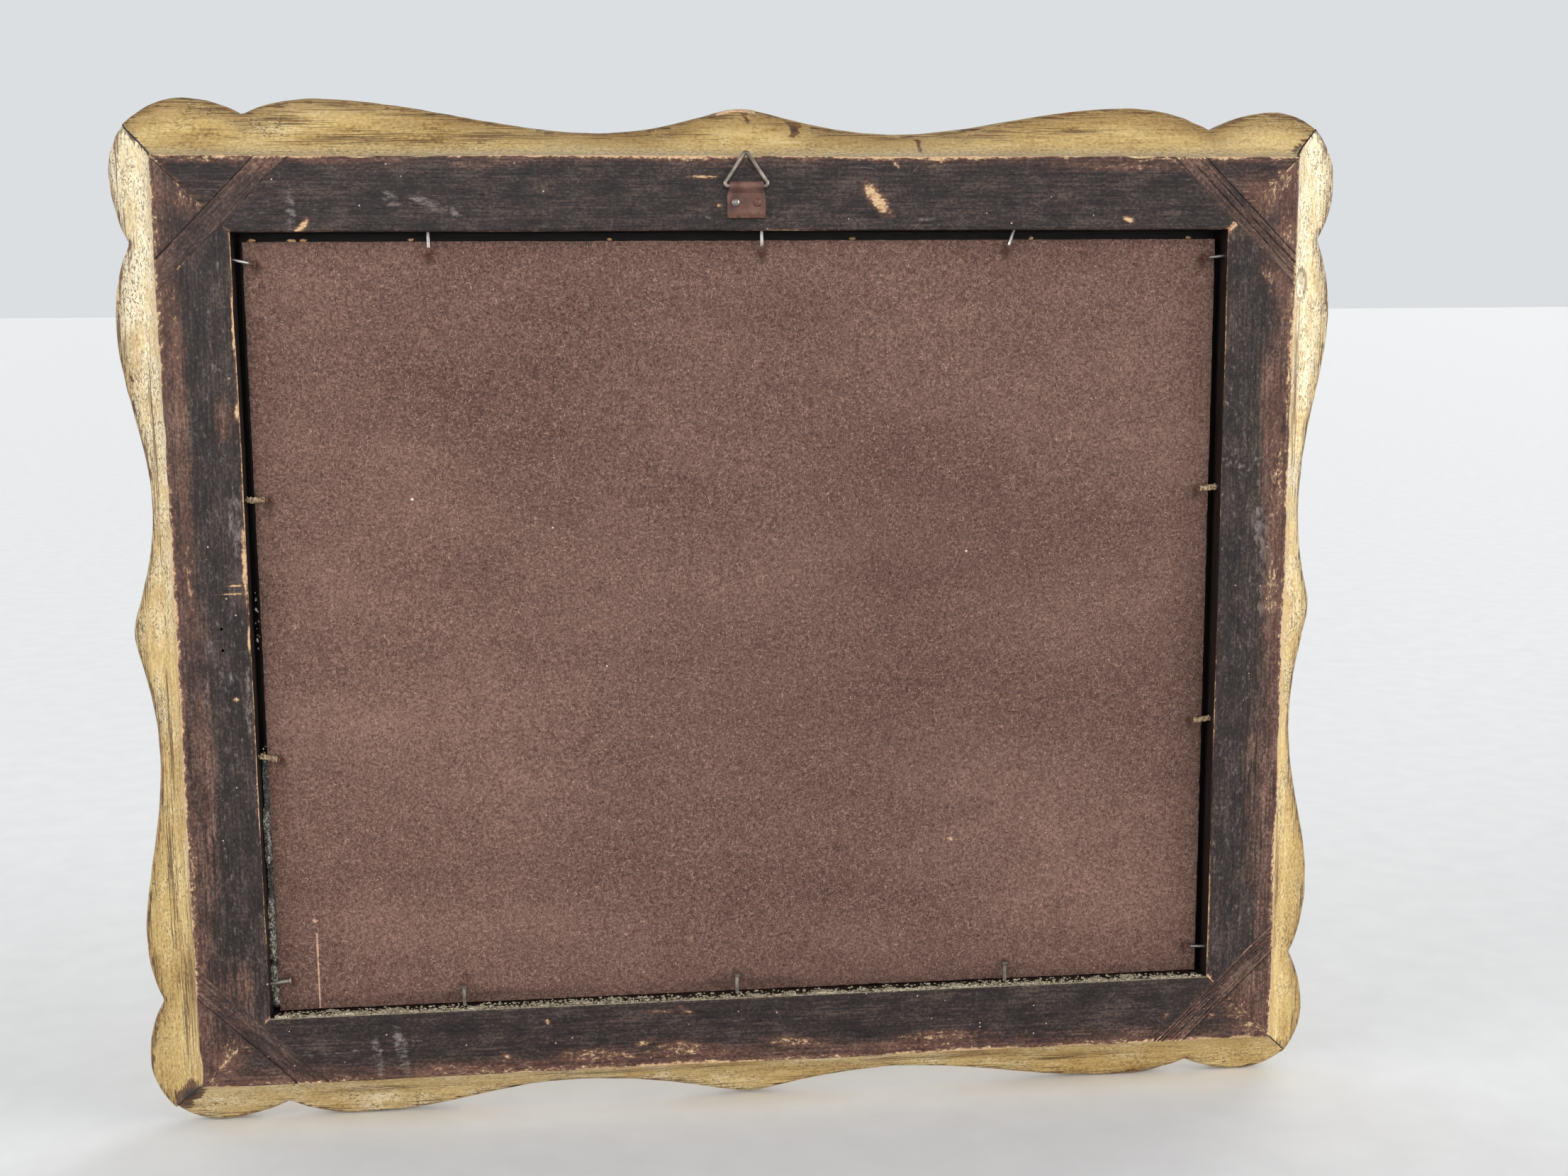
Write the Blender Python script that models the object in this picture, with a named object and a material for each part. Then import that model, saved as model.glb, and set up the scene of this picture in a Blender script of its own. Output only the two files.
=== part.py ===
"""Wall frame for a set of coins: four mitred mouldings with a scalloped edge, glazed and backed."""
import math

import bmesh
import bpy
from mathutils import Matrix

MM = 0.001

# Clearances between pieces that touch
FIT = 0.3 * MM
RING_PLAY = 0.15 * MM
LAYER_GAP = 0.1 * MM
LOOP_GAP = 0.2 * MM
COIN_SINK = 0.3 * MM

# Rebate and back of the mouldings
REBATE_WIDTH = 302 * MM
REBATE_HEIGHT = 242 * MM
BACK_FLAT = 22 * MM
SIGHT_LIP = 6 * MM
LIP_THICKNESS = 3 * MM

# Sheets in the rebate, from the back towards the front
BOARD_RECESS = 5.6 * MM
BOARD_THICKNESS = 3 * MM
CARD_THICKNESS = 1 * MM
COIN_THICKNESS = 2.1 * MM
GLASS_THICKNESS = 2 * MM
SIDE_PLAY = 2.3 * MM
TOP_PLAY = 2.7 * MM

# Scalloped edge: how far each feature stands out past the back flat, and where it lies
PEAK_OUT = 14.5 * MM
PEAK_ROUNDING = 5 * MM
PEAK_POWER = 1.85
WAIST_OUT = 7.4 * MM
WAIST_SHARE = 0.4
LOBE_OUT = 16.2 * MM
LOBE_FROM_CORNER = 48 * MM
NOTCH_FROM_CORNER = 25 * MM
NOTCH_CUT = 5.1 * MM
CORNER_RADIUS = 21.5 * MM
CORNER_INSET = 5.6 * MM
CORNER_OVERRUN = 2 * MM
PEAK_STEPS = 7
SLOPE_STEPS = 5
LOBE_STEPS = 4
NOTCH_STEPS = 3
CORNER_STEPS = 5

# Cove between the back and the edge, and the moulded front
COVE_MARGIN = 3.8 * MM
COVE_DEPTH = 13 * MM
COVE_STEPS = 4
EDGE_THICKNESS = 4.2 * MM
EDGE_ROLL = 3 * MM
ROLL_RISE = 0.9 * MM
RIDGE_FROM_REBATE = 15 * MM
RIDGE_HALF_WIDTH = 4 * MM
RIDGE_RISE = 6.5 * MM
RIDGE_ROUND = 1.2 * MM
HOLLOW_FROM_REBATE = 4 * MM
HOLLOW_RISE = 2.4 * MM
BEAD_RISE = 4.2 * MM

# Wooden keys let into the back across the mitres
KEY_NEAR = 30 * MM
KEY_FAR = 39.5 * MM
KEY_DEPTH = 5 * MM
KEY_INSET = 0.15 * MM
KEY_RUNOUT = 5 * MM

# Brads that hold the backing board
BRAD_RADIUS = 0.6 * MM
BRAD_HEAD_RADIUS = 1 * MM
BRAD_HEAD = 0.5 * MM
BRAD_REACH = 6.5 * MM
BRAD_GRIP = 6.5 * MM
BRAD_POINT = 1.5 * MM
BRAD_SIDES = 8
RAIL_BRAD_FROM_CORNER = 62 * MM
STILE_BRAD_FROM_CORNER = 8 * MM
BRAD_KEY_GAP = 1 * MM
# How far each brad strays from even spacing along its moulding in mm, and its lean in degrees
BRAD_STRAYS = {
    "top": ((5, -18), (-6, 0), (5, 0)),
    "right": ((0, -12), (-4, -1), (0, -11), (-2, 7)),
    "bottom": ((-2, 0), (-4, 0), (-5, 0)),
    "left": ((1, -3), (3, 7), (3, 5), (0, 5)),
}

# Hanger: a folded strap, its two pins and a triangular wire ring
HANGER_SHIFT = -1 * MM
RING_AXIS_FROM_REBATE = 13.1 * MM
RING_BASE = 14 * MM
RING_HEIGHT = 10.4 * MM
RING_CORNER = 0.75 * MM
WIRE_RADIUS = 0.65 * MM
STRAP_WIDTH = 11.5 * MM
STRAP_THICKNESS = 0.5 * MM
STRAP_DROP = 9.4 * MM
STRAP_SHOULDER = 2.6 * MM
STRAP_NECK_TURN = 45
PIN_DROP = 4.9 * MM
PIN_FROM_EDGE = 2.45 * MM
PIN_RADIUS = 0.65 * MM
PIN_HEAD_RADIUS = 1.3 * MM
PIN_HEAD = 0.7 * MM
PIN_LENGTH = 9 * MM

# Coins: the widest in the middle column, each column outwards a step smaller
COIN_DIAMETER = 38 * MM
COIN_STEP = 4 * MM
COIN_COLUMNS = 5
COIN_ROWS = 4
PANEL_MARGIN = 17 * MM
COIN_SIDES = 24

# Depths below the plane of the back
BOARD_FRONT = BOARD_RECESS + BOARD_THICKNESS
CARD_BACK = BOARD_FRONT + FIT
CARD_FRONT = CARD_BACK + CARD_THICKNESS
PANEL_BACK = CARD_FRONT + FIT
PANEL_THICKNESS = COIN_THICKNESS + COIN_SINK
PANEL_FRONT = PANEL_BACK + PANEL_THICKNESS
GLASS_BACK = PANEL_FRONT + FIT
GLASS_FRONT = GLASS_BACK + GLASS_THICKNESS
SEAT = GLASS_FRONT + FIT
SIGHT_FRONT = SEAT + LIP_THICKNESS
RIDGE_FRONT = SEAT + RIDGE_RISE
EDGE_FRONT = COVE_DEPTH + EDGE_THICKNESS

# Worked out from the sizes above
CORNER_OUT = CORNER_RADIUS - CORNER_INSET
NOTCH_OUT = min(CORNER_OUT, LOBE_OUT) - NOTCH_CUT
FURTHEST_OUT = max(PEAK_OUT, LOBE_OUT, CORNER_OUT)
COVE_REACH = FURTHEST_OUT + COVE_MARGIN
BAR_HOLE = WIRE_RADIUS + RING_PLAY
LOOP_RADIUS = BAR_HOLE + STRAP_THICKNESS
RING_AXIS_PROUD = FIT + LOOP_RADIUS
RING_LEAN = math.asin((RING_AXIS_PROUD - WIRE_RADIUS - FIT) / RING_HEIGHT)
LEG_LENGTH = math.hypot(RING_BASE / 2, RING_HEIGHT)
LOOP_END = (LOOP_RADIUS * RING_BASE / 2 + (WIRE_RADIUS + LOOP_GAP) * LEG_LENGTH) / RING_HEIGHT
LOOP_WIDTH = RING_BASE - 2 * LOOP_END
HANGER_PROUD = RING_AXIS_PROUD + LOOP_RADIUS
PIN_SPREAD = STRAP_WIDTH - 2 * PIN_FROM_EDGE
STRAP_FRONT = FIT + 2 * STRAP_THICKNESS + LAYER_GAP
BACK_Y = (RIDGE_FRONT - HANGER_PROUD) / 2
CENTRE_Z = REBATE_HEIGHT / 2 + BACK_FLAT + FURTHEST_OUT
SIGHT_WIDTH = REBATE_WIDTH - 2 * SIGHT_LIP
SIGHT_HEIGHT = REBATE_HEIGHT - 2 * SIGHT_LIP

# Name, side, turn about the y axis, length and height of the rebate as seen from that moulding
MOULDINGS = (
    ("top_rail", "top", 0, REBATE_WIDTH, REBATE_HEIGHT),
    ("right_stile", "right", 90, REBATE_HEIGHT, REBATE_WIDTH),
    ("bottom_rail", "bottom", 180, REBATE_WIDTH, REBATE_HEIGHT),
    ("left_stile", "left", 270, REBATE_HEIGHT, REBATE_WIDTH),
)


def clear_scene():
    for item in list(bpy.data.objects):
        bpy.data.objects.remove(item, do_unlink=True)


def make_material(name, colour, roughness, metallic=0.0, transmission=0.0):
    material = bpy.data.materials.new(name)
    material.use_nodes = True
    shader = material.node_tree.nodes["Principled BSDF"]
    shader.inputs["Base Color"].default_value = (*colour, 1)
    shader.inputs["Roughness"].default_value = roughness
    shader.inputs["Metallic"].default_value = metallic
    shader.inputs["Transmission Weight"].default_value = transmission
    return material


def place(name, shape, matrix, parent, material=None, smooth=False):
    """Turns a bmesh into an object at the given place under its parent."""
    bmesh.ops.recalc_face_normals(shape, faces=shape.faces)
    mesh = bpy.data.meshes.new(name)
    shape.to_mesh(mesh)
    shape.free()
    if smooth:
        mesh.shade_smooth()
        mesh.set_sharp_from_angle(angle=math.radians(35))
    if material:
        mesh.materials.append(material)
    item = bpy.data.objects.new(name, mesh)
    bpy.context.scene.collection.objects.link(item)
    item.parent = parent
    item.matrix_local = matrix
    return item


def cut(item, cutter):
    cutter.hide_render = True
    cutter.display_type = "WIRE"
    modifier = item.modifiers.new("cuts", "BOOLEAN")
    modifier.operation = "DIFFERENCE"
    modifier.solver = "EXACT"
    modifier.object = cutter


def turned(profile, sides, shape=None, matrix=None):
    """Closed turned solid about z, from (radius, height) points that start and end on the axis."""
    shape = shape or bmesh.new()
    matrix = matrix or Matrix()
    step = 2 * math.pi / sides
    rings = []
    for radius, height in profile:
        count = sides if radius else 1
        spots = [(radius * math.cos(k * step), radius * math.sin(k * step), height) for k in range(count)]
        rings.append([shape.verts.new(spot) for spot in spots])
    for lower, upper in zip(rings, rings[1:]):
        for k in range(sides):
            corners = [lower[k % len(lower)], lower[(k + 1) % len(lower)]]
            corners += [upper[(k + 1) % len(upper)], upper[k % len(upper)]]
            shape.faces.new(dict.fromkeys(corners))
    bmesh.ops.transform(shape, matrix=matrix, verts=[corner for ring in rings for corner in ring])
    return shape


def rod(radius, start, end, sides, shape, matrix):
    return turned([(0, start), (radius, start), (radius, end), (0, end)], sides, shape, matrix)


def prism(outline, low, high, shape=None):
    """Solid between two levels of y over an outline of (x, z) points."""
    shape = shape or bmesh.new()
    near = [shape.verts.new((x, low, z)) for x, z in outline]
    far = [shape.verts.new((x, high, z)) for x, z in outline]
    shape.faces.new(near)
    shape.faces.new(far)
    for k in range(len(outline)):
        after = (k + 1) % len(outline)
        shape.faces.new((near[k], near[after], far[after], far[k]))
    return shape


def spread(start, end, steps):
    """Evenly spaced values after start, up to and including end."""
    return [start + (end - start) * (k + 1) / steps for k in range(steps)]


def edge_out(along, half):
    """How far the scalloped edge stands out, at a distance along from the middle of a moulding."""
    lobe = half - LOBE_FROM_CORNER
    notch = half - NOTCH_FROM_CORNER
    crest = half - CORNER_INSET
    waist = WAIST_SHARE * lobe
    if along <= waist:
        run = math.hypot(along, PEAK_ROUNDING) - PEAK_ROUNDING
        whole = math.hypot(waist, PEAK_ROUNDING) - PEAK_ROUNDING
        return WAIST_OUT + (PEAK_OUT - WAIST_OUT) * max(0, 1 - run / whole) ** PEAK_POWER
    if along <= lobe:
        swing = math.cos(math.pi * (along - waist) / (lobe - waist))
        return (LOBE_OUT + WAIST_OUT) / 2 - swing * (LOBE_OUT - WAIST_OUT) / 2
    if along <= notch:
        reach = (notch - lobe) / math.sqrt(1 - (NOTCH_OUT / LOBE_OUT) ** 2)
        return LOBE_OUT * math.sqrt(1 - ((along - lobe) / reach) ** 2)
    reach = CORNER_RADIUS
    if along < crest:
        drop = (NOTCH_OUT + CORNER_INSET) / CORNER_RADIUS
        reach = (crest - notch) / math.sqrt(1 - drop ** 2)
    return CORNER_RADIUS * math.sqrt(1 - ((along - crest) / reach) ** 2) - CORNER_INSET


def edge_stations(half):
    """Places along one half of a moulding that follow the scallops, past the end of its mitre."""
    lobe = half - LOBE_FROM_CORNER
    notch = half - NOTCH_FROM_CORNER
    crest = half - CORNER_INSET
    waist = WAIST_SHARE * lobe
    tip = half + CORNER_RADIUS * math.sqrt(0.5) - CORNER_INSET + CORNER_OVERRUN
    places = spread(0, waist, PEAK_STEPS) + spread(waist, lobe, SLOPE_STEPS)
    places += spread(lobe, notch, LOBE_STEPS) + spread(notch, crest, NOTCH_STEPS)
    return places + spread(crest, tip, CORNER_STEPS)


def moulding_section(out):
    """Section as (distance out from the rebate wall, depth below the back) points."""
    edge = BACK_FLAT + out
    turn = math.acos(1 - out / COVE_REACH)
    points = [(-SIGHT_LIP, SEAT), (0, SEAT), (0, 0), (BACK_FLAT, 0)]
    for angle in spread(0, turn, COVE_STEPS):
        points.append((BACK_FLAT + COVE_REACH * (1 - math.cos(angle)), COVE_DEPTH * math.sin(angle)))
    roll = edge - EDGE_ROLL
    roll_front = EDGE_FRONT + ROLL_RISE
    shoulder = RIDGE_FROM_REBATE + RIDGE_HALF_WIDTH
    points += [
        (edge, EDGE_FRONT),
        (roll, roll_front),
        ((roll + shoulder) / 2, roll_front),
        (shoulder, RIDGE_FRONT - RIDGE_ROUND),
        (RIDGE_FROM_REBATE, RIDGE_FRONT),
        (RIDGE_FROM_REBATE - RIDGE_HALF_WIDTH, RIDGE_FRONT - RIDGE_ROUND),
        (HOLLOW_FROM_REBATE, SEAT + HOLLOW_RISE),
        (0, SEAT + HOLLOW_RISE),
        (-SIGHT_LIP / 2, SEAT + BEAD_RISE),
        (-SIGHT_LIP, SIGHT_FRONT),
    ]
    return points


def moulding_body(length, height):
    """One moulding along x with its outer edge up, cut to a mitre at both ends."""
    half = length / 2 + BACK_FLAT
    one_half = edge_stations(half)
    stations = [-along for along in reversed(one_half)] + [0] + one_half
    shape = bmesh.new()
    loops = []
    for along in stations:
        section = moulding_section(edge_out(abs(along), half))
        loops.append([shape.verts.new((along, BACK_Y - depth, height / 2 + out)) for out, depth in section])
    for left, right in zip(loops, loops[1:]):
        for k in range(len(left)):
            after = (k + 1) % len(left)
            shape.faces.new((left[k], left[after], right[after], right[k]))
    shape.faces.new(loops[0])
    shape.faces.new(loops[-1])
    for side in (-1, 1):
        corner = (side * (length / 2 - FIT * math.sqrt(0.5)), 0, height / 2)
        everything = shape.verts[:] + shape.edges[:] + shape.faces[:]
        parts = bmesh.ops.bisect_plane(
            shape, geom=everything, plane_co=corner, plane_no=(side, 0, -1), clear_outer=True
        )
        rim = [part for part in parts["geom_cut"] if isinstance(part, bmesh.types.BMEdge)]
        bmesh.ops.edgeloop_fill(shape, edges=rim)
    return shape


def key_outline(near, far, inset):
    """Strip across a corner at the origin, as (x, z) points, that ends inset from both edges."""
    return [
        (-inset, inset - near),
        (inset - near, -inset),
        (inset - far, -inset),
        (-inset, inset - far),
    ]


def add_key_slots(shape, length, height):
    slack = FIT * math.sqrt(2)
    strip = key_outline(KEY_NEAR - slack, KEY_FAR + slack, -KEY_RUNOUT)
    corner_x = length / 2 + BACK_FLAT
    corner_z = height / 2 + BACK_FLAT
    for side in (-1, 1):
        outline = [(side * (corner_x + x), corner_z + z) for x, z in strip]
        prism(outline, BACK_Y - KEY_DEPTH - FIT, BACK_Y + FIT, shape)


def brad_places(side, length, height):
    """Where each brad leaves the rebate wall, with its direction, in the moulding's own frame."""
    strays = BRAD_STRAYS[side]
    slant = math.tan(math.radians(max(abs(lean) for _, lean in strays)))
    tip_reach = BRAD_GRIP * (1 + slant) + BRAD_RADIUS * math.sqrt(2)
    key_clear = KEY_FAR - 2 * BACK_FLAT + tip_reach + BRAD_KEY_GAP
    inset = RAIL_BRAD_FROM_CORNER if side in ("top", "bottom") else STILE_BRAD_FROM_CORNER
    end = length / 2 - max(inset, key_clear)
    depth = BOARD_RECESS - FIT - BRAD_HEAD_RADIUS
    places = []
    for k, (stray, lean) in enumerate(strays):
        along = -end + 2 * end * k / (len(strays) - 1) + stray * MM
        spot = Matrix.Translation((along, BACK_Y - depth, height / 2))
        places.append(spot @ Matrix.Rotation(math.radians(lean), 4, "Y"))
    return places


def brad_body():
    """Brad along z, its point in the wood above the origin and its head below."""
    return turned(
        [
            (0, -BRAD_REACH),
            (BRAD_HEAD_RADIUS, -BRAD_REACH),
            (BRAD_HEAD_RADIUS, BRAD_HEAD - BRAD_REACH),
            (BRAD_RADIUS, BRAD_HEAD - BRAD_REACH),
            (BRAD_RADIUS, BRAD_GRIP - BRAD_POINT),
            (0, BRAD_GRIP),
        ],
        BRAD_SIDES,
    )


def pin_places():
    """Where each hanger pin enters the back, its head along +z, in the frame's own frame."""
    level = REBATE_HEIGHT / 2 + RING_AXIS_FROM_REBATE - PIN_DROP
    facing = Matrix.Rotation(math.radians(-90), 4, "X")
    spots = [(HANGER_SHIFT + side * PIN_SPREAD / 2, BACK_Y, level) for side in (-1, 1)]
    return [Matrix.Translation(spot) @ facing for spot in spots]


def build_mouldings(centre, wood, steel):
    for name, side, turn, length, height in MOULDINGS:
        facing = Matrix.Rotation(math.radians(turn), 4, "Y")
        moulding = place(name, moulding_body(length, height), facing, centre, wood)
        holes = bmesh.new()
        add_key_slots(holes, length, height)
        places = brad_places(side, length, height)
        for k, spot in enumerate(places):
            rod(BRAD_RADIUS + FIT, -BRAD_RADIUS, BRAD_GRIP + FIT, BRAD_SIDES, holes, spot)
            place(f"brad_{side}_{k + 1}", brad_body(), facing @ spot, centre, steel, smooth=True)
        if side == "top":
            for spot in pin_places():
                rod(PIN_RADIUS + FIT, -PIN_LENGTH - FIT, FIT, BRAD_SIDES, holes, spot)
        cut(moulding, place(f"cutter_{side}", holes, facing, centre))


def build_keys(centre, wood):
    strip = key_outline(KEY_NEAR, KEY_FAR, KEY_INSET)
    across = REBATE_WIDTH / 2 + BACK_FLAT
    up = REBATE_HEIGHT / 2 + BACK_FLAT
    corners = (
        ("corner_key_top_right", 0, across, up),
        ("corner_key_bottom_right", 90, across, -up),
        ("corner_key_bottom_left", 180, -across, -up),
        ("corner_key_top_left", 270, -across, up),
    )
    for name, turn, x, z in corners:
        spot = Matrix.Translation((x, BACK_Y, z)) @ Matrix.Rotation(math.radians(turn), 4, "Y")
        place(name, prism(strip, -KEY_DEPTH, -KEY_INSET), spot, centre, wood)


def sheet_body(back, front):
    """Flat sheet between two depths, standing on the bottom of the rebate."""
    half = REBATE_WIDTH / 2 - SIDE_PLAY
    low = FIT - REBATE_HEIGHT / 2
    high = REBATE_HEIGHT / 2 - TOP_PLAY
    return prism([(-half, low), (half, low), (half, high), (-half, high)], BACK_Y - front, BACK_Y - back)


def coin_cells():
    """Column, row, place and diameter of each coin, spread evenly over the sight."""
    span_x = SIGHT_WIDTH - 2 * PANEL_MARGIN - COIN_DIAMETER
    span_z = SIGHT_HEIGHT - 2 * PANEL_MARGIN - COIN_DIAMETER
    cells = []
    for row in range(COIN_ROWS):
        z = span_z * (0.5 - row / (COIN_ROWS - 1))
        for column in range(COIN_COLUMNS):
            x = span_x * (column / (COIN_COLUMNS - 1) - 0.5)
            diameter = COIN_DIAMETER - COIN_STEP * abs(column - (COIN_COLUMNS - 1) / 2)
            cells.append((column + 1, row + 1, x, z, diameter))
    return cells


def build_contents(centre, fibreboard, card, felt, glass, metals):
    place("backing_board", sheet_body(BOARD_RECESS, BOARD_FRONT), Matrix(), centre, fibreboard)
    place("base_card", sheet_body(CARD_BACK, CARD_FRONT), Matrix(), centre, card)
    place("glass_pane", sheet_body(GLASS_BACK, GLASS_FRONT), Matrix(), centre, glass)
    panel = place("coin_panel", sheet_body(PANEL_BACK, PANEL_FRONT), Matrix(), centre, felt)
    holes = bmesh.new()
    facing = Matrix.Rotation(math.radians(90), 4, "X")
    for column, row, x, z, diameter in coin_cells():
        spot = Matrix.Translation((x, BACK_Y - PANEL_BACK, z)) @ facing
        rod(diameter / 2 + FIT, -FIT, PANEL_THICKNESS + FIT, COIN_SIDES, holes, spot)
        coin = rod(diameter / 2, 0, COIN_THICKNESS, COIN_SIDES, bmesh.new(), Matrix())
        metal = metals[row % len(metals)]
        place(f"coin_{row}_{column}", coin, spot, centre, metal, smooth=True)
    cut(panel, place("cutter_coins", holes, Matrix(), centre))


def strap_path():
    """Middle line of the folded strap as (height above the back, distance up from the bar) points."""
    loop = BAR_HOLE + STRAP_THICKNESS / 2
    back = FIT + STRAP_THICKNESS / 2
    front = STRAP_FRONT - STRAP_THICKNESS / 2
    path = [(back, -STRAP_DROP), (back, -STRAP_SHOULDER), (back, 0)]
    for turn in spread(0, 180 + STRAP_NECK_TURN, 9):
        angle = math.radians(turn)
        path.append((RING_AXIS_PROUD - loop * math.cos(angle), loop * math.sin(angle)))
    height, level = path[-1]
    slope = math.tan(math.radians(STRAP_NECK_TURN))
    path.append((front, level - (height - front) / slope))
    path += [(front, -max(STRAP_SHOULDER, -path[-1][1] + LAYER_GAP)), (front, -STRAP_DROP)]
    return path


def strip_sides(path, thickness):
    """Pairs of points on both faces of a strip of even thickness along an open path."""
    pairs = []
    for k, (x, y) in enumerate(path):
        before = path[max(k - 1, 0)]
        after = path[min(k + 1, len(path) - 1)]
        into = math.atan2(y - before[1], x - before[0]) if k else None
        away = math.atan2(after[1] - y, after[0] - x) if k < len(path) - 1 else into
        into = away if into is None else into
        bend = math.remainder(away - into, 2 * math.pi) / 2
        reach = thickness / 2 / math.cos(bend)
        side = into + bend + math.pi / 2
        shift = (reach * math.cos(side), reach * math.sin(side))
        pairs.append(((x + shift[0], y + shift[1]), (x - shift[0], y - shift[1])))
    return pairs


def strap_body():
    """Folded strap about the bar's middle: x across, y away from the back, z up."""
    shape = bmesh.new()
    loops = []
    path = strap_path()
    for (_, level), (inner, outer) in zip(path, strip_sides(path, STRAP_THICKNESS)):
        half = (STRAP_WIDTH if level <= -STRAP_SHOULDER else LOOP_WIDTH) / 2
        spots = [(-half, *inner), (half, *inner), (half, *outer), (-half, *outer)]
        loops.append([shape.verts.new((x, y - RING_AXIS_PROUD, z)) for x, y, z in spots])
    for lower, upper in zip(loops, loops[1:]):
        for k in range(4):
            after = (k + 1) % 4
            shape.faces.new((lower[k], lower[after], upper[after], upper[k]))
    shape.faces.new(loops[0])
    shape.faces.new(loops[-1])
    return shape


def ring_points():
    """Middle line of the triangular ring, its bar along x through the origin and its tip up."""
    corners = [(-RING_BASE / 2, 0), (RING_BASE / 2, 0), (0, RING_HEIGHT)]
    points = []
    for k, corner in enumerate(corners):
        before, after = corners[k - 1], corners[(k + 1) % 3]
        into = math.atan2(corner[1] - before[1], corner[0] - before[0])
        away = math.atan2(after[1] - corner[1], after[0] - corner[0])
        bend = math.remainder(away - into, 2 * math.pi)
        setback = RING_CORNER * math.tan(bend / 2)
        start = (corner[0] - setback * math.cos(into), corner[1] - setback * math.sin(into))
        middle = (start[0] - RING_CORNER * math.sin(into), start[1] + RING_CORNER * math.cos(into))
        for share in (0, 0.25, 0.5, 0.75, 1):
            angle = into + share * bend
            across = middle[0] + RING_CORNER * math.sin(angle)
            up = middle[1] - RING_CORNER * math.cos(angle)
            points.append((across, up))
    return points


def ring_object(steel, centre, matrix):
    """Wire bent to a closed triangle, turned about its bar to lean on the back."""
    curve = bpy.data.curves.new("hanger_ring", "CURVE")
    curve.dimensions = "3D"
    curve.bevel_depth = WIRE_RADIUS
    curve.bevel_resolution = 2
    points = ring_points()
    spline = curve.splines.new("POLY")
    spline.points.add(len(points) - 1)
    for spot, (x, z) in zip(spline.points, points):
        spot.co = (x, 0, z, 1)
    spline.use_cyclic_u = True
    curve.materials.append(steel)
    ring = bpy.data.objects.new("hanger_ring", curve)
    bpy.context.scene.collection.objects.link(ring)
    ring.parent = centre
    ring.matrix_local = matrix @ Matrix.Rotation(RING_LEAN, 4, "X")
    return ring


def build_hanger(centre, rusty, steel):
    level = REBATE_HEIGHT / 2 + RING_AXIS_FROM_REBATE
    bar = Matrix.Translation((HANGER_SHIFT, BACK_Y + RING_AXIS_PROUD, level))
    strap = place("hanger_strap", strap_body(), bar, centre, rusty)
    ring_object(steel, centre, bar)
    holes = bmesh.new()
    under_head = STRAP_FRONT + LAYER_GAP
    for k, spot in enumerate(pin_places()):
        rod(PIN_RADIUS + FIT, 0, under_head, BRAD_SIDES, holes, spot)
        pin = turned(
            [
                (0, -PIN_LENGTH),
                (PIN_RADIUS, BRAD_POINT - PIN_LENGTH),
                (PIN_RADIUS, under_head),
                (PIN_HEAD_RADIUS, under_head),
                (PIN_HEAD_RADIUS * 0.8, under_head + PIN_HEAD * 0.7),
                (0, under_head + PIN_HEAD),
            ],
            BRAD_SIDES,
        )
        place(f"hanger_pin_{k + 1}", pin, spot, centre, steel, smooth=True)
    cut(strap, place("cutter_strap", holes, Matrix(), centre))


def build():
    clear_scene()
    centre = bpy.data.objects.new("frame_centre", None)
    bpy.context.scene.collection.objects.link(centre)
    centre.location = (0, 0, CENTRE_Z)
    wood = make_material("stained_wood", (0.035, 0.025, 0.022), 0.6)
    steel = make_material("steel_wire", (0.5, 0.49, 0.47), 0.35, metallic=1.0)
    rusty = make_material("rusty_steel", (0.16, 0.07, 0.04), 0.7, metallic=0.6)
    fibreboard = make_material("fibreboard", (0.25, 0.13, 0.09), 0.85)
    card = make_material("card", (0.62, 0.58, 0.48), 0.9)
    felt = make_material("felt", (0.07, 0.01, 0.015), 0.95)
    glass = make_material("glass", (0.95, 0.97, 0.96), 0.03, transmission=1.0)
    silver = make_material("coin_silver", (0.62, 0.61, 0.58), 0.3, metallic=1.0)
    bronze = make_material("coin_bronze", (0.43, 0.24, 0.11), 0.35, metallic=1.0)
    build_mouldings(centre, wood, steel)
    build_keys(centre, wood)
    build_contents(centre, fibreboard, card, felt, glass, (bronze, silver))
    build_hanger(centre, rusty, steel)


build()
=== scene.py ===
import math

import bmesh
import bpy
import numpy as np
from mathutils import Matrix, Vector


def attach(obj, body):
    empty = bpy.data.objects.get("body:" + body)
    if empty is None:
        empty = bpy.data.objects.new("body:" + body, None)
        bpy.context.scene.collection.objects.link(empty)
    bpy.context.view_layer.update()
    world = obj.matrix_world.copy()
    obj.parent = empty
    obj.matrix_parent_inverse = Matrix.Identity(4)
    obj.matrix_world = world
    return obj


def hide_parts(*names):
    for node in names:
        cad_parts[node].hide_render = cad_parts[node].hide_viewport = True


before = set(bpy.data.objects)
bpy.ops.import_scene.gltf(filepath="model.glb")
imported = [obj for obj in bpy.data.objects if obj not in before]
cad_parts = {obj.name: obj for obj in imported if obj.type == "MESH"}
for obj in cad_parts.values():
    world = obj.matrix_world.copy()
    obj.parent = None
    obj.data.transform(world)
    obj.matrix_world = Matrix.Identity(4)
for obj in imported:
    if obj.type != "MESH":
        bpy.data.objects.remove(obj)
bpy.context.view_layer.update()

MM = 0.001

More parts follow.
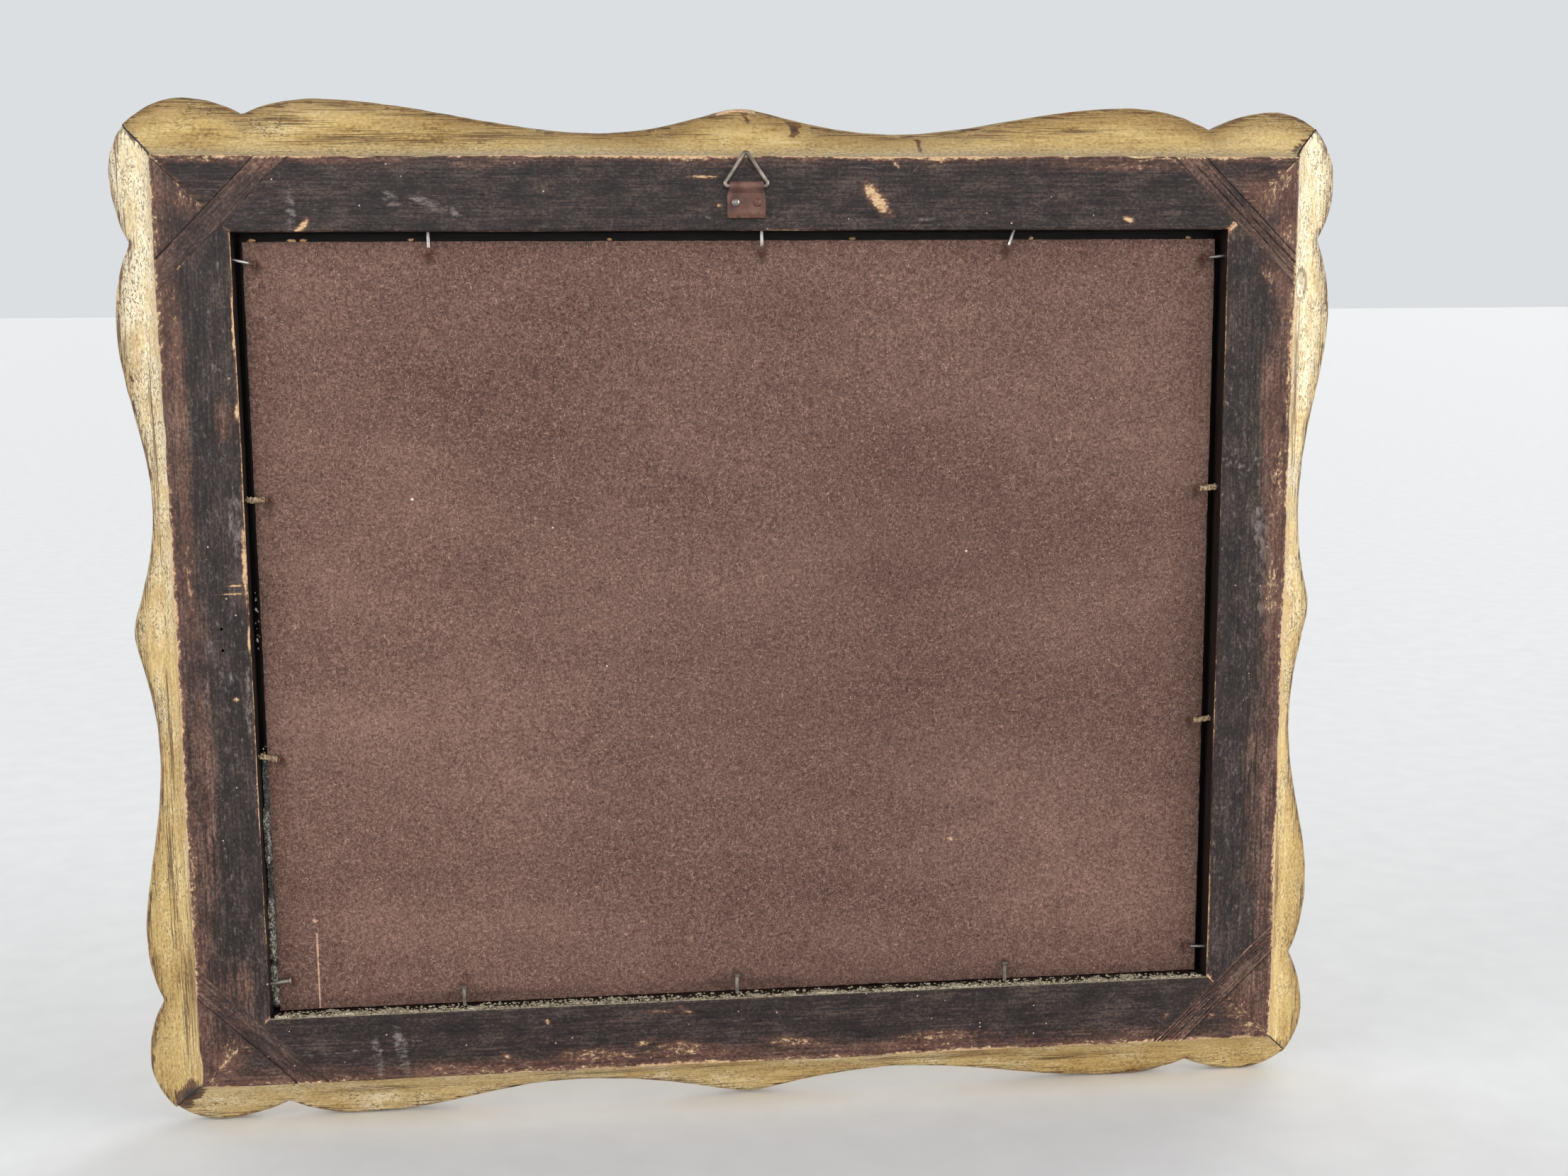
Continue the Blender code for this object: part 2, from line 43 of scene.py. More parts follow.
# Sizes repeated from the part's source
FIT = 0.3 * MM
REBATE_WIDTH = 302 * MM
REBATE_HEIGHT = 242 * MM
BACK_FLAT = 22 * MM
SIGHT_LIP = 6 * MM
BOARD_RECESS = 5.6 * MM
BOARD_FRONT = 8.6 * MM
PANEL_BACK = 10.2 * MM
PANEL_THICKNESS = 2.4 * MM
COIN_THICKNESS = 2.1 * MM
SEAT = 15.2 * MM
SIGHT_FRONT = 18.2 * MM
RIDGE_FRONT = 21.7 * MM
EDGE_FRONT = 17.2 * MM
ROLL_FRONT = 18.1 * MM
SIDE_PLAY = 2.3 * MM
TOP_PLAY = 2.7 * MM
BACK_Y = 9.4 * MM
CENTRE_Z = 159.2 * MM
PEAK_OUT = 14.5 * MM
PEAK_ROUNDING = 5 * MM
PEAK_POWER = 1.85
WAIST_OUT = 7.4 * MM
WAIST_SHARE = 0.4
LOBE_OUT = 16.2 * MM
LOBE_FROM_CORNER = 48 * MM
NOTCH_FROM_CORNER = 25 * MM
NOTCH_OUT = 10.8 * MM
CORNER_RADIUS = 21.5 * MM
CORNER_INSET = 5.6 * MM
CORNER_OVERRUN = 2 * MM
COVE_REACH = 20 * MM
COVE_DEPTH = 13 * MM
EDGE_ROLL = 3 * MM
RIDGE_FROM_REBATE = 15 * MM
RIDGE_HALF_WIDTH = 4 * MM
RIDGE_ROUND = 1.2 * MM
HOLLOW_FROM_REBATE = 4 * MM
HOLLOW_FRONT = 17.6 * MM
KEY_NEAR = 30 * MM
KEY_FAR = 39.5 * MM
KEY_DEPTH = 5 * MM
KEY_INSET = 0.15 * MM
BRAD_RADIUS = 0.6 * MM
BRAD_HEAD_RADIUS = 1 * MM
BRAD_REACH = 6.5 * MM
BRAD_GRIP = 6.5 * MM
RAIL_BRAD_FROM_CORNER = 62 * MM
STILE_BRAD_FROM_CORNER = 8 * MM
BRAD_STRAYS = {
    "top": ((5, -18), (-6, 0), (5, 0)),
    "right": ((0, -12), (-4, -1), (0, -11), (-2, 7)),
    "bottom": ((-2, 0), (-4, 0), (-5, 0)),
    "left": ((1, -3), (3, 7), (3, 5), (0, 5)),
}
HANGER_SHIFT = -1 * MM
RING_AXIS_FROM_REBATE = 13.1 * MM
RING_BASE = 14 * MM
RING_HEIGHT = 10.4 * MM
RING_CORNER = 0.75 * MM
WIRE_RADIUS = 0.65 * MM
RING_AXIS_PROUD = 1.6 * MM
STRAP_WIDTH = 11.5 * MM
STRAP_THICKNESS = 0.5 * MM
STRAP_DROP = 9.4 * MM
STRAP_SHOULDER = 2.6 * MM
STRAP_NECK_TURN = 45
STRAP_FRONT = 1.4 * MM
BAR_HOLE = 0.8 * MM
LAYER_GAP = 0.1 * MM
PIN_DROP = 4.9 * MM
PIN_SPREAD = 6.6 * MM
PIN_RADIUS = 0.65 * MM
PIN_HEAD_RADIUS = 1.3 * MM
PIN_HEAD = 0.7 * MM
PIN_LENGTH = 9 * MM
COIN_DIAMETER = 38 * MM
COIN_STEP = 4 * MM
COIN_COLUMNS = 5
COIN_ROWS = 4
PANEL_MARGIN = 17 * MM

# Name, side, turn about the y axis, length and height of the rebate as seen from that moulding
MOULDINGS = (
    ("top_rail", "top", 0, REBATE_WIDTH, REBATE_HEIGHT),
    ("right_stile", "right", 90, REBATE_HEIGHT, REBATE_WIDTH),
    ("bottom_rail", "bottom", 180, REBATE_WIDTH, REBATE_HEIGHT),
    ("left_stile", "left", 270, REBATE_HEIGHT, REBATE_WIDTH),
)

# Chips down to bare wood in the back, each as x and z from the middle, half length and half width in mm,
# and turn in degrees
CHIP_MARKS = (
    (-40.7, 130.4, 5.4, 2.1, 50), (-46.8, 140.5, 1.4, 0.7, 60), (11.8, 136.9, 4.2, 0.5, 0),
    (7.0, 128.4, 0.8, 0.8, 0), (130.3, 122.4, 3.4, 1.0, 135), (-119.2, 124.0, 2.2, 0.8, 20),
    (151.6, 22.5, 11.5, 0.7, 90), (155.5, 13.7, 3.0, 0.4, 0), (154.6, 16.2, 2.4, 0.3, 0),
    (151.5, 68.5, 2.8, 0.8, 90), (151.2, 94.7, 10, 0.6, 90), (151.3, -0.4, 4.8, 0.5, 90),
    (156.1, -18.8, 0.9, 0.8, 0), (64.9, -126.0, 1.0, 0.7, 70), (175.8, 142.6, 0.6, 0.6, 0),
)
# Places rubbed to flecks of bare wood, in the same way
BARE_MARKS = (
    (77.8, -137.0, 2.2, 0.8, 20), (34.5, -134.9, 4.2, 1.0, -20), (33.7, -137.8, 1.0, 0.7, 0),
    (40.3, -138.9, 4.0, 0.8, 0), (44.8, -140.6, 2.2, 0.5, 80), (18.0, -137.4, 2.6, 0.9, 10),
    (29.4, -124.4, 4.2, 0.6, 0), (21.0, -124.3, 3.2, 0.9, 30), (-137.5, -133.9, 1.6, 0.9, 120),
    (-152.9, -134.2, 1.7, 1.0, 0), (-167.4, -139.6, 6.5, 3.0, 8), (-163.0, -133.5, 4.0, 1.2, 45),
    (159.1, -129.3, 3.2, 1.0, 45), (164.9, -137.2, 3.6, 1.4, 40), (169.4, -140.5, 4.0, 1.6, 45),
    (158.6, 128.4, 2.4, 0.9, 40), (170.7, -104.4, 2.6, 1.2, 120), (-164.5, 107, 3.2, 2.2, 45),
    (-166.5, 134.5, 7, 3.6, 135), (-169.5, 116, 12, 2.6, 95), (-168.5, 8, 13, 3.0, 90),
    (-170, 44, 14, 1.4, 90), (50, -138, 12, 2.2, 0), (22, -137, 9, 2.6, 6), (-14, -136.5, 10, 1.8, 4),
    (-62, -137, 14, 1.6, 0), (155, 142.1, 18, 1.2, 0), (12, 142.4, 13, 1.0, 0), (-20, 142.6, 7, 0.9, 0),
    (-65, 142.6, 6, 0.9, 0), (-140, 142.2, 26, 1.1, 0), (172, 105, 34, 1.1, 90), (172.2, 20, 46, 0.9, 90),
    (172, -82, 40, 1.0, 90), (-171.8, 84, 44, 1.1, 90), (-172, -10, 40, 0.8, 90), (-172, -100, 40, 0.8, 90),
    (70, -142.1, 40, 1.2, 0), (-20, -142.3, 30, 1.0, 0), (-120, -142.1, 34, 1.0, 0),
    (138, -142, 30, 0.9, 0),
)
# Corners worn to a patchwork, in the same way
WORN_MARKS = (
    (-164, 130, 15, 9, 135), (-167, 112, 16, 6, 90), (164, 130, 10, 6, 45), (164, -131, 12, 8, 135),
    (-162, -133, 15, 9, 45), (168, 90, 30, 3, 90), (168, 20, 40, 2.6, 90), (-168, 40, 50, 4, 90),
    (90, -140, 50, 2.4, 0), (20, -139, 34, 3, 0), (-60, -140, 40, 2.6, 0), (-118, 140, 30, 2.6, 0),
)
# Scuffs, in the same way
SCUFF_MARKS = (
    (118.0, -135.5, 7.5, 1.8, 82), (110.8, -134.0, 9.0, 2.2, 80), (153.4, 34.8, 9.5, 2.6, 90),
    (133.1, 128.0, 6.5, 1.7, 90), (103.9, 130.6, 3.0, 1.9, 30), (94.1, 129.5, 5.5, 1.6, 25),
    (86.9, 127.1, 3.4, 1.4, 30), (157.0, 81.3, 2.0, 1.2, 20), (10.1, 124.6, 1.6, 0.8, 30),
    (-56.2, 124.1, 2.8, 0.9, 0), (131.7, -133.2, 12, 0.45, -3.5), (105.0, -130.2, 7, 0.45, -12),
    (162.8, -2.8, 2.6, 0.9, 90), (157.1, -12.8, 2.4, 0.9, 90), (-167.5, 8, 14, 4.0, 90),
    (-164.5, 27, 11, 3.0, 80), (-160, 51, 14, 0.6, 20), (-158, 47, 12, 0.5, 24), (-150, -63, 6, 0.5, 5),
    (152.5, -20, 12, 1.2, 90),
)
# Places where the stain is red, in the same way
RED_MARKS = (
    (155.3, 66.2, 9.5, 4.4, 90), (161.4, -111, 15, 9, 90), (165, -134, 9, 5, 0), (81.5, -142, 60, 4.2, 0),
    (-165, -126, 16, 7, 90), (-165.5, -60, 46, 5.5, 90), (-166, 60, 52, 5.0, 90), (-160, 132, 14, 9, 0),
    (167, -40, 70, 6, 90), (168, 60, 60, 4, 90), (120, 142, 55, 2.6, 0),
)
# Chips in the gilding, in the same way
GILT_CHIPS = (
    (184, 78, 1.6, 1.0, 60), (178.4, -148.4, 9.5, 4.2, 135), (-174.5, 146, 4, 1.0, 135),
)
# Dents in the gilding, in the same way
DENT_MARKS = ((-177.8, 104, 4.6, 2.3, 90),)
# Deeper three-cornered chips in the gilding: x and z of their corners in mm
CORNERED_CHIPS = (
    ((-14.1, 154.3), (-19.8, 153.4), (-16.5, 148.1)), ((-0.8, 156.4), (-4.0, 156.0), (-1.8, 152.4)),
    ((-53.2, 148.8), (-56.4, 148.6), (-54.9, 143.8)),
)
# Where brown shows in streaks, in the gilding and in the stain, in the same way as chips
GILT_STREAKS = (
    (110, 148.4, 34, 2.6, 0), (70, 149.5, 24, 2.0, -4), (135, 153.5, 14, 2.0, 0), (30, 151, 20, 1.6, 5),
    (-60, 150, 34, 1.4, 0), (-104, 151.5, 20, 1.2, 0), (175.4, -110, 34, 1.6, 90), (178, -30, 30, 1.2, 90),
    (178, 60, 40, 1.0, 90), (40, -147, 40, 1.2, 0), (-60, -148, 44, 1.4, 0), (-176, -90, 30, 1.2, 90),
    (-177, 70, 40, 1.4, 90), (-110, -150, 22, 2.0, 0), (120, -150, 24, 1.6, 0), (173.6, -92, 40, 1.1, 90),
    (173.4, -20, 30, 0.7, 90), (178, -120, 30, 2.4, 90), (180, -70, 40, 2, 90), (161.5, -112, 15, 8, 90),
    (166, -74, 26, 6, 90), (-163, -40, 60, 5, 90), (60, -134, 50, 5, 0), (150, 133, 20, 5, 0),
)

# Width of the bare strip on the outer arris in mm, where the stain turns red in mm, and how much
EDGE_WEAR = {
    "top": (0.6, 15, 0.45), "right": (0.7, 10, 0.65), "bottom": (0.7, 11, 0.65), "left": (0.8, 11, 1.0),
}

# How far the hand-carved edge strays outwards, as (place along the moulding, stray) in mm
EDGE_STRAYS = {
    "top": ((-181, -0.6), (-151, -2.3), (-131, -1), (-101, 0.2), (-80, 0.6), (-40, -0.5), (0, 0.6),
            (30, -0.6), (70, 1.2), (111, 1), (151, 2), (171, 1.6), (181, -0.3)),
    "right": ((-151, -0.5), (-134, -1.9), (-100, -1.4), (-50, -0.7), (0, 0.5), (42, 1.8), (76, 0),
              (101, 0.9), (134, 2.3), (151, 2.3)),
    "bottom": ((-181, 1.2), (-167, -0.1), (-151, -0.9), (-138, 0.1), (-125, -0.3), (-101, 0.2), (-70, -0.7),
               (-20, 0.9), (30, 1.2), (70, 1.3), (101, 0.4), (125, -0.3), (138, 0.6), (153, 0.6),
               (167, 0.2), (181, 0.4)),
    "left": ((-151, 0.5), (-126, -0.6), (-84, -0.6), (-42, -0.4), (6, -1.7), (25, -0.8), (42, 0.4), (84, 0),
             (114, 0), (128, 1), (143, 0.4), (151, -0.5)),
}

# How finely the mouldings are built, how their arrises are rounded, and the fine gap at their mitres
STATION_STEP = 1.25 * MM
STRAY_WINDOW = 13
INNER_ARRIS = 0.5 * MM
OUTER_ARRIS = 0.9 * MM
RIM_ROUND = 1.0 * MM
MITRE_GAP = 0.03 * MM
MITRE_GROOVE = 0.1 * MM

# Depths of the mouldings' unevenness, nicks, chips and dents, and how wide a cornered chip slopes
BROAD_WAVE = 0.1 * MM
FINE_WAVE = 0.035 * MM
ARRIS_NICK = 0.5 * MM
RIM_NICK = 0.4 * MM
CHIP_DEPTH = 0.2 * MM
CORNERED_DEPTH = 0.3 * MM
CORNERED_SLOPE = 0.7 * MM
DENT_DEPTH = 1.1 * MM

# Bare patch on the rim of the top peak
PEAK_RUB = 1 * MM
PEAK_RUB_HALF = 6 * MM

# Shift of the grain along a moulding for each degree of its turn, and the keys' place in the grain
GRAIN_SHIFT = 0.01
KEY_GRAIN = 9
KEY_GRAIN_ACROSS = 4 * MM

# Value of a wear attribute where that wear is out of the question
NO_WEAR = -4

# How far a cutter reaches past what it cuts
CUTTER_OVERRUN = 1 * MM

# Two worm holes in the right stile
WORM_HOLES = (-3.1 * MM, 3.5 * MM)
WORM_HOLE_OUT = 8.3 * MM
WORM_HOLE_RADIUS = 0.5 * MM
WORM_HOLE_DEPTH = 3 * MM

# The guessed front: its sweep, its hollow and its channel, and the fans carved in the sweep
SWEEP_DIP = 0.8 * MM
SWEEP_LEAN = 2 * MM
HOLLOW_LEAN = 2 * MM
HOLLOW_BEND = 6 * MM
CHANNEL_FROM_REBATE = 0.2 * MM
CHANNEL_BEND = -3 * MM
CHANNEL_FRONT = 17 * MM
FAN_FROM_REBATE = 13 * MM
FAN_FLUTES = 22
FAN_DEPTH = 0.9 * MM
FAN_START = 20.5 * MM
FAN_FADE_IN = 3 * MM
FAN_FADE_OUT = 2 * MM

# Pearls along the sight edge
PEARL_RADIUS = 1.75 * MM
PEARL_LINE = 2.9 * MM
PEARL_PITCH = 4.0 * MM
PEARL_FRONT = 17.5 * MM
PEARL_STRETCH = 1.08

# Slack of the corner keys in their slots, how far they are sunk, and the depth of their grooves, with the
# shares of a key's width at which they run
KEY_SLACK = 0.06 * MM
SLOT_INSET = 0.05 * MM
KEY_SUNK = 0.06 * MM
KEY_GROOVE = 0.35 * MM
MANY_GROOVES = (0.16, 0.3, 0.44, 0.58, 0.72, 0.86)
TWO_GROOVES = (0.3, 0.62)

# Marks on the backing board, written like the marks above
BOARD_WARM = ((120, -80, 70, 60, 0), (100, 20, 60, 120, 0), (-120, -90, 50, 50, 0))
BOARD_SMUDGES = ((90.2, -112, 4, 3, 0), (0, -118, 60, 3, 0), (85, -118, 60, 2.4, 0))
BOARD_SHADES = ((-50, 15, 70, 30, 0), (-45, -40, 60, 30, 10), (-56, 40, 40, 6, 0))
BOARD_BANDS = ((-40, -120, 140, 22, 0), (-150, -40, 16, 90, 0), (-50, 20, 46, 5, -3))
BOARD_DROPS = ((136.5, -91.5, 1.3, 1.0, 50), (-65.7, -72.4, 1.1, 1.1, 0), (138.7, 2.4, 0.8, 1.2, 0))
SCRATCH_X = 136.2 * MM
SCRATCH_Z = -108 * MM
SCRATCH_HALF = 12.3 * MM

# Brads: share of the head's radius and height in mm of each ring of its dome, and the shank's rings
BRAD_DOME = ((0.55, 0.02), (0.85, 0.1), (1, 0.26), (0.96, 0.42), (0.75, 0.56))
BRAD_NECK = 0.8 * MM
BRAD_RING_STEP = 0.9 * MM
BRAD_TAPER = 0.012
BRAD_TIP_RADIUS = 0.3 * MM
BRAD_TIP_START = 5.6 * MM
CRUST_RADIUS = 0.8 * MM
CRUST_START = 0.65 * MM - BRAD_REACH
CRUST_CAP = 0.1 * MM
CRUST_END = 0.15 * MM
CRUST_RING_STEP = 0.48 * MM
CRUSTED_BRADS = ("brad_right_2", "brad_right_3", "brad_left_2", "brad_left_3")
SHINY_BRADS = ("brad_top_1", "brad_top_2", "brad_top_3", "brad_right_1", "brad_left_1", "brad_left_4")

# Hanger
STRAP_ROW = 1.1 * MM
STRAP_NECK = 1.2 * MM
STRAP_STEP = 0.3 * MM
STRAP_BEVEL = 0.12 * MM
LOOP_GAP = 0.2 * MM
WIRE_SIDES = 16
PIN_POINT = 1.5 * MM
PIN_UNDERSIDE = 1.2 * MM

# Dust on the rebate's lower ledge, lint in the gap beside the board, and wood chips on top of the board
BED_HALF = 149.5 * MM
BED_NEAR = 0.4 * MM
BED_FAR = 5.5 * MM
BED_UNDER = 0.4 * MM
LEDGE_TRIES = 1900
LEDGE_HALF = 149 * MM
LINT_X = REBATE_WIDTH / 2 - SIDE_PLAY / 2
LINT_LOW = -120.5 * MM
LINT_HIGH = -40 * MM
LINT_HALF = 1.1 * MM
LINT_UNDER = 10.1 * MM
# Lowest and highest place in mm and number of lumps of each stretch of lint, thick ones first
LINT_STRETCHES = ((-72, -56, 90), (-104, -84, 110), (-119, -106, 70), (-40, -35, 8), (-10, 20, 12))
THICK_STRETCHES = LINT_STRETCHES[:3]
# Place along the board's top and half length of each wood chip, in mm
TOP_CHIPS = (
    (146.0, 1.5), (134.5, 2.0), (131, 1.2), (99.5, 1.1), (40, 0.8), (-34, 1.0), (-90, 0.9), (-140, 1.0),
)
TOP_CHIP_DEPTH = 6.6 * MM
TOP_CHIP_RISE = 0.4 * MM
TOP_CHIP_SIZE = (0.8 * MM, 0.55 * MM)

# Coins: height of their relief, points and dots round their rim, and the rounded edge of their holes
COIN_RELIEF = 0.42 * MM
COIN_POINTS = 132
COIN_DOTS = 44
HOLE_LIP = 0.55 * MM

# The photo's camera, solved on the corners of the frame's back, and the plain stage, in metres and degrees
CAMERA_PLACE = (0.04779, 0.57700, 0.25928)
CAMERA_TURN = (81.20345, 0.37718, 173.96052)
CAMERA_LENS = 42.642
CAMERA_SENSOR = 36
FLOOR_HALF = 40
WARM_WHITE = (1.0, 0.98, 0.95)
# Name, place, strength, spread in degrees and colour of each lamp
LAMPS = (
    ("window", (-1.15, 0.35, 0.26), 2.7, 40, WARM_WHITE),
    ("room", (1.15, 0.4, 0.2), 2.0, 45, (1.0, 0.98, 0.96)),
    ("behind_camera", (0.2, 1.4, 0.06), 1.2, 50, (1.0, 0.99, 0.97)),
    ("front_left", (-0.9, -1.2, 0.7), 1.0, 40, WARM_WHITE),
    ("front_right", (1.0, -1.0, 0.35), 0.7, 40, (0.96, 0.98, 1.0)),
)


def tint(red, green, blue):
    """Linear colour from the screen values of a colour."""
    shares = [value / 255 for value in (red, green, blue)]
    return (*[v / 12.92 if v <= 0.04045 else ((v + 0.055) / 1.055) ** 2.4 for v in shares], 1)


class Shade:
    """Adds shader nodes to one new material with short calls. Colours are given as screen values."""

    def __init__(self, name):
        self.material = bpy.data.materials.new(name)
        self.material.use_nodes = True
        self.tree = self.material.node_tree
        self.shader = self.tree.nodes["Principled BSDF"]

    def put(self, socket, value):
        """Links a socket to another one, or gives it a constant."""
        if isinstance(value, bpy.types.NodeSocket):
            self.tree.links.new(value, socket)
        else:
            socket.default_value = value

    def node(self, kind, inputs=None, **settings):
        made = self.tree.nodes.new("ShaderNode" + kind)
        for name, value in settings.items():
            setattr(made, name, value)
        for key, value in (inputs or {}).items():
            self.put(made.inputs[key], value)
        return made

    def attribute(self, name):
        return self.node("Attribute", attribute_name=name).outputs["Fac"]

    def moulding_spot(self):
        """Place on a moulding: along it and across its section."""
        inputs = {"X": self.attribute("along"), "Y": self.attribute("across")}
        return self.node("CombineXYZ", inputs).outputs[0]

    def object_spot(self):
        return self.node("TexCoord").outputs["Object"]

    def axis(self, spot, name):
        return self.node("SeparateXYZ", {0: spot}).outputs[name]

    def scaled(self, spot, scale):
        """A spot times one scale, or times two or three, one for each axis."""
        scales = scale if isinstance(scale, tuple) else (scale,) * 3
        return self.node("Mapping", {"Vector": spot, "Scale": (*scales, 1)[:3]}).outputs[0]

    def noise(self, spot, scale, detail=4, rough=0.55, twist=0.0):
        inputs = {"Vector": self.scaled(spot, scale), "Scale": 1, "Detail": detail}
        made = self.node("TexNoise", {**inputs, "Roughness": rough, "Distortion": twist})
        return made.outputs["Fac"]

    def math(self, operation, *values):
        return self.node("Math", dict(enumerate(values)), operation=operation).outputs[0]

    def times(self, first, second):
        return self.math("MULTIPLY", first, second)

    def minus(self, first, second):
        return self.math("SUBTRACT", first, second)

    def most(self, first, second):
        return self.math("MAXIMUM", first, second)

    def below(self, first, second):
        return self.math("LESS_THAN", first, second)

    def line(self, value, slope, start):
        """The value times a slope, plus a start."""
        return self.math("MULTIPLY_ADD", value, slope, start)

    def jitter(self, value, noise, gain):
        """The value, raised or lowered by noise around a half."""
        return self.line(noise, gain, self.minus(value, gain / 2))

    def step(self, value, low, high):
        inputs = {"Value": value, "From Min": low, "From Max": high}
        return self.node("MapRange", inputs, interpolation_type="SMOOTHSTEP").outputs["Result"]

    def wear(self, name, noise, gain, low, high):
        """Mask of a wear attribute, broken up by noise: nought at a low value and one at a high one."""
        return self.step(self.jitter(self.attribute(name), noise, gain), low, high)

    def ramp(self, value, *stops):
        """Colour by value, from (place, colour) stops."""
        made = self.node("ValToRGB", {"Fac": value})
        elements = made.color_ramp.elements
        elements[0].position = stops[0][0]
        elements[-1].position = stops[-1][0]
        for place, _ in stops[1:-1]:
            elements.new(place)
        for element, (_, colour) in zip(elements, stops):
            element.color = tint(*colour)
        return made.outputs["Color"]

    def coat(self, colour, mask, tone, share=1):
        """A colour under a share of a tone, where the mask says."""
        made = self.node("Mix", data_type="RGBA")
        covered = mask if share == 1 else self.times(mask, share)
        over = tint(*tone) if isinstance(tone, tuple) else tone
        for key, value in ((0, covered), (6, colour), (7, over)):
            self.put(made.inputs[key], value)
        return made.outputs[2]

    def scratches(self, spot, angle, share):
        """Mask of long hairlines at an angle, in patches."""
        turn = {"Vector": spot, "Rotation": (0, 0, math.radians(angle)), "Scale": (1 / 70, 1 / 2600, 1)}
        turned_spot = self.node("Mapping", turn, vector_type="TEXTURE").outputs[0]
        lines = self.node("TexNoise", {"Vector": turned_spot, "Scale": 1, "Detail": 1})
        patches = self.noise(spot, (60 + angle / 4, 90), 2, 0.5)
        fine = self.step(lines.outputs["Fac"], 0.69, 0.75)
        return self.times(fine, self.step(patches, 0.62 - share, 0.74 - share))

    def specks(self, spot, scale, size, share):
        """Mask of round specks in some of the cells of a random grid."""
        cells = self.node("TexVoronoi", {"Vector": self.scaled(spot, scale), "Scale": 1})
        chance = self.node("SeparateColor", {0: cells.outputs["Color"]}).outputs[0]
        near = self.below(cells.outputs["Distance"], size)
        return self.times(near, self.below(chance, share))

    def bump(self, height, distance, normal=None):
        inputs = {"Height": height, "Distance": distance}
        if normal:
            inputs["Normal"] = normal
        return self.node("Bump", inputs).outputs["Normal"]

    def finish(self, colour, roughness, normal=None, metallic=None, **fixed):
        """The material, with these values on its shader."""
        self.put(self.shader.inputs["Base Color"], colour)
        self.put(self.shader.inputs["Roughness"], roughness)
        if normal is not None:
            self.put(self.shader.inputs["Normal"], normal)
        if metallic is not None:
            self.put(self.shader.inputs["Metallic"], metallic)
        for name, value in fixed.items():
            self.shader.inputs[name.replace("_", " ")].default_value = value
        return self.material


def stained_wood():
    """Dark stained wood of the back, reddish in places, scuffed, chipped, and dusty in the rebate, whose wall
    is painted near black as painted shade.
    """
    s = Shade("stained_wood")
    spot = s.moulding_spot()
    grain = s.noise(spot, (40, 1300), 6, 0.62)
    ragged = s.noise(spot, (700, 1200), 6, 0.72)
    smears = s.noise(spot, (300, 620), 6, 0.75)
    blotch = s.noise(spot, (70, 130), 6, 0.7)
    mottle = s.noise(spot, (900, 1100), 5, 0.7)
    shade = s.line(mottle, 0.4, s.line(grain, 0.26, s.times(blotch, 0.34)))
    dark = s.ramp(shade, (0.41, (14, 11, 10)), (0.5, (42, 33, 31)), (0.59, (86, 71, 65)))
    red = s.ramp(shade, (0.41, (36, 23, 19)), (0.5, (86, 60, 51)), (0.59, (146, 114, 98)))
    patches = s.noise(spot, (30, 70), 5, 0.6)
    colour = s.coat(dark, s.wear("red", patches, 1.1, 0.05, 0.7), red)
    pores = s.step(s.noise(spot, (150, 2600), 3, 0.5), 0.61, 0.69)
    colour = s.coat(colour, pores, (20, 15, 13), 0.75)
    dashes = s.noise(spot, (110, 900), 3, 0.55)
    dashes = s.wear("streak", dashes, 7.0, 0.7, 1.3)
    colour = s.coat(colour, dashes, (26, 18, 16), 0.75)
    colour = s.coat(colour, s.step(smears, 0.52, 0.72), (116, 98, 90), 0.3)
    scuff = s.times(s.wear("scuff", smears, 4.0, 0.0, 1.0), 0.75)
    for angle, share in ((4, 0.02), (38, 0.07), (-48, 0.06), (84, 0.05)):
        scuff = s.most(scuff, s.times(s.scratches(spot, angle, share), 0.34))
    colour = s.coat(colour, scuff, (150, 138, 134))
    colour = s.coat(colour, s.specks(spot, (240, 240), 0.06, 0.35), (196, 180, 164))
    field = s.jitter(s.jitter(s.attribute("bare"), ragged, 2.8), smears, 3.4)
    colour = s.coat(colour, s.step(field, -1.0, 0.0), (92, 58, 47), 0.5)
    colour = s.coat(colour, s.step(field, -0.35, 0.05), (124, 90, 75), 0.5)
    bare = s.step(field, 0.0, 0.5)
    raw = s.ramp(ragged, (0.36, (152, 110, 84)), (0.44, (196, 156, 120)), (0.62, (224, 194, 152)))
    colour = s.coat(colour, bare, raw)
    seam = s.jitter(s.jitter(s.attribute("joint"), ragged, 0.5 * MM), blotch, 0.9 * MM)
    colour = s.coat(colour, s.below(seam, 0.05 * MM), (18, 13, 11))
    # Painted shade: the rebate wall is painted near black, as if deep in shadow.
    wall = s.below(s.attribute("across"), -0.6 * MM)
    colour = s.coat(colour, wall, s.ramp(grain, (0.3, (14, 10, 9)), (0.7, (40, 30, 26))))
    dust = s.wear("dust", mottle, 1.6, 0.1, 0.7)
    colour = s.coat(colour, dust, s.ramp(ragged, (0.36, (70, 62, 50)), (0.62, (178, 168, 144))))
    rough = s.line(s.most(bare, scuff), 0.3, s.line(mottle, 0.2, 0.36))
    normal = s.bump(shade, 0.2 * MM)
    normal = s.bump(s.most(pores, dashes), -0.06 * MM, normal)
    normal = s.bump(bare, -0.12 * MM, normal)
    return s.finish(colour, rough, normal, Specular_IOR_Level=0.3)


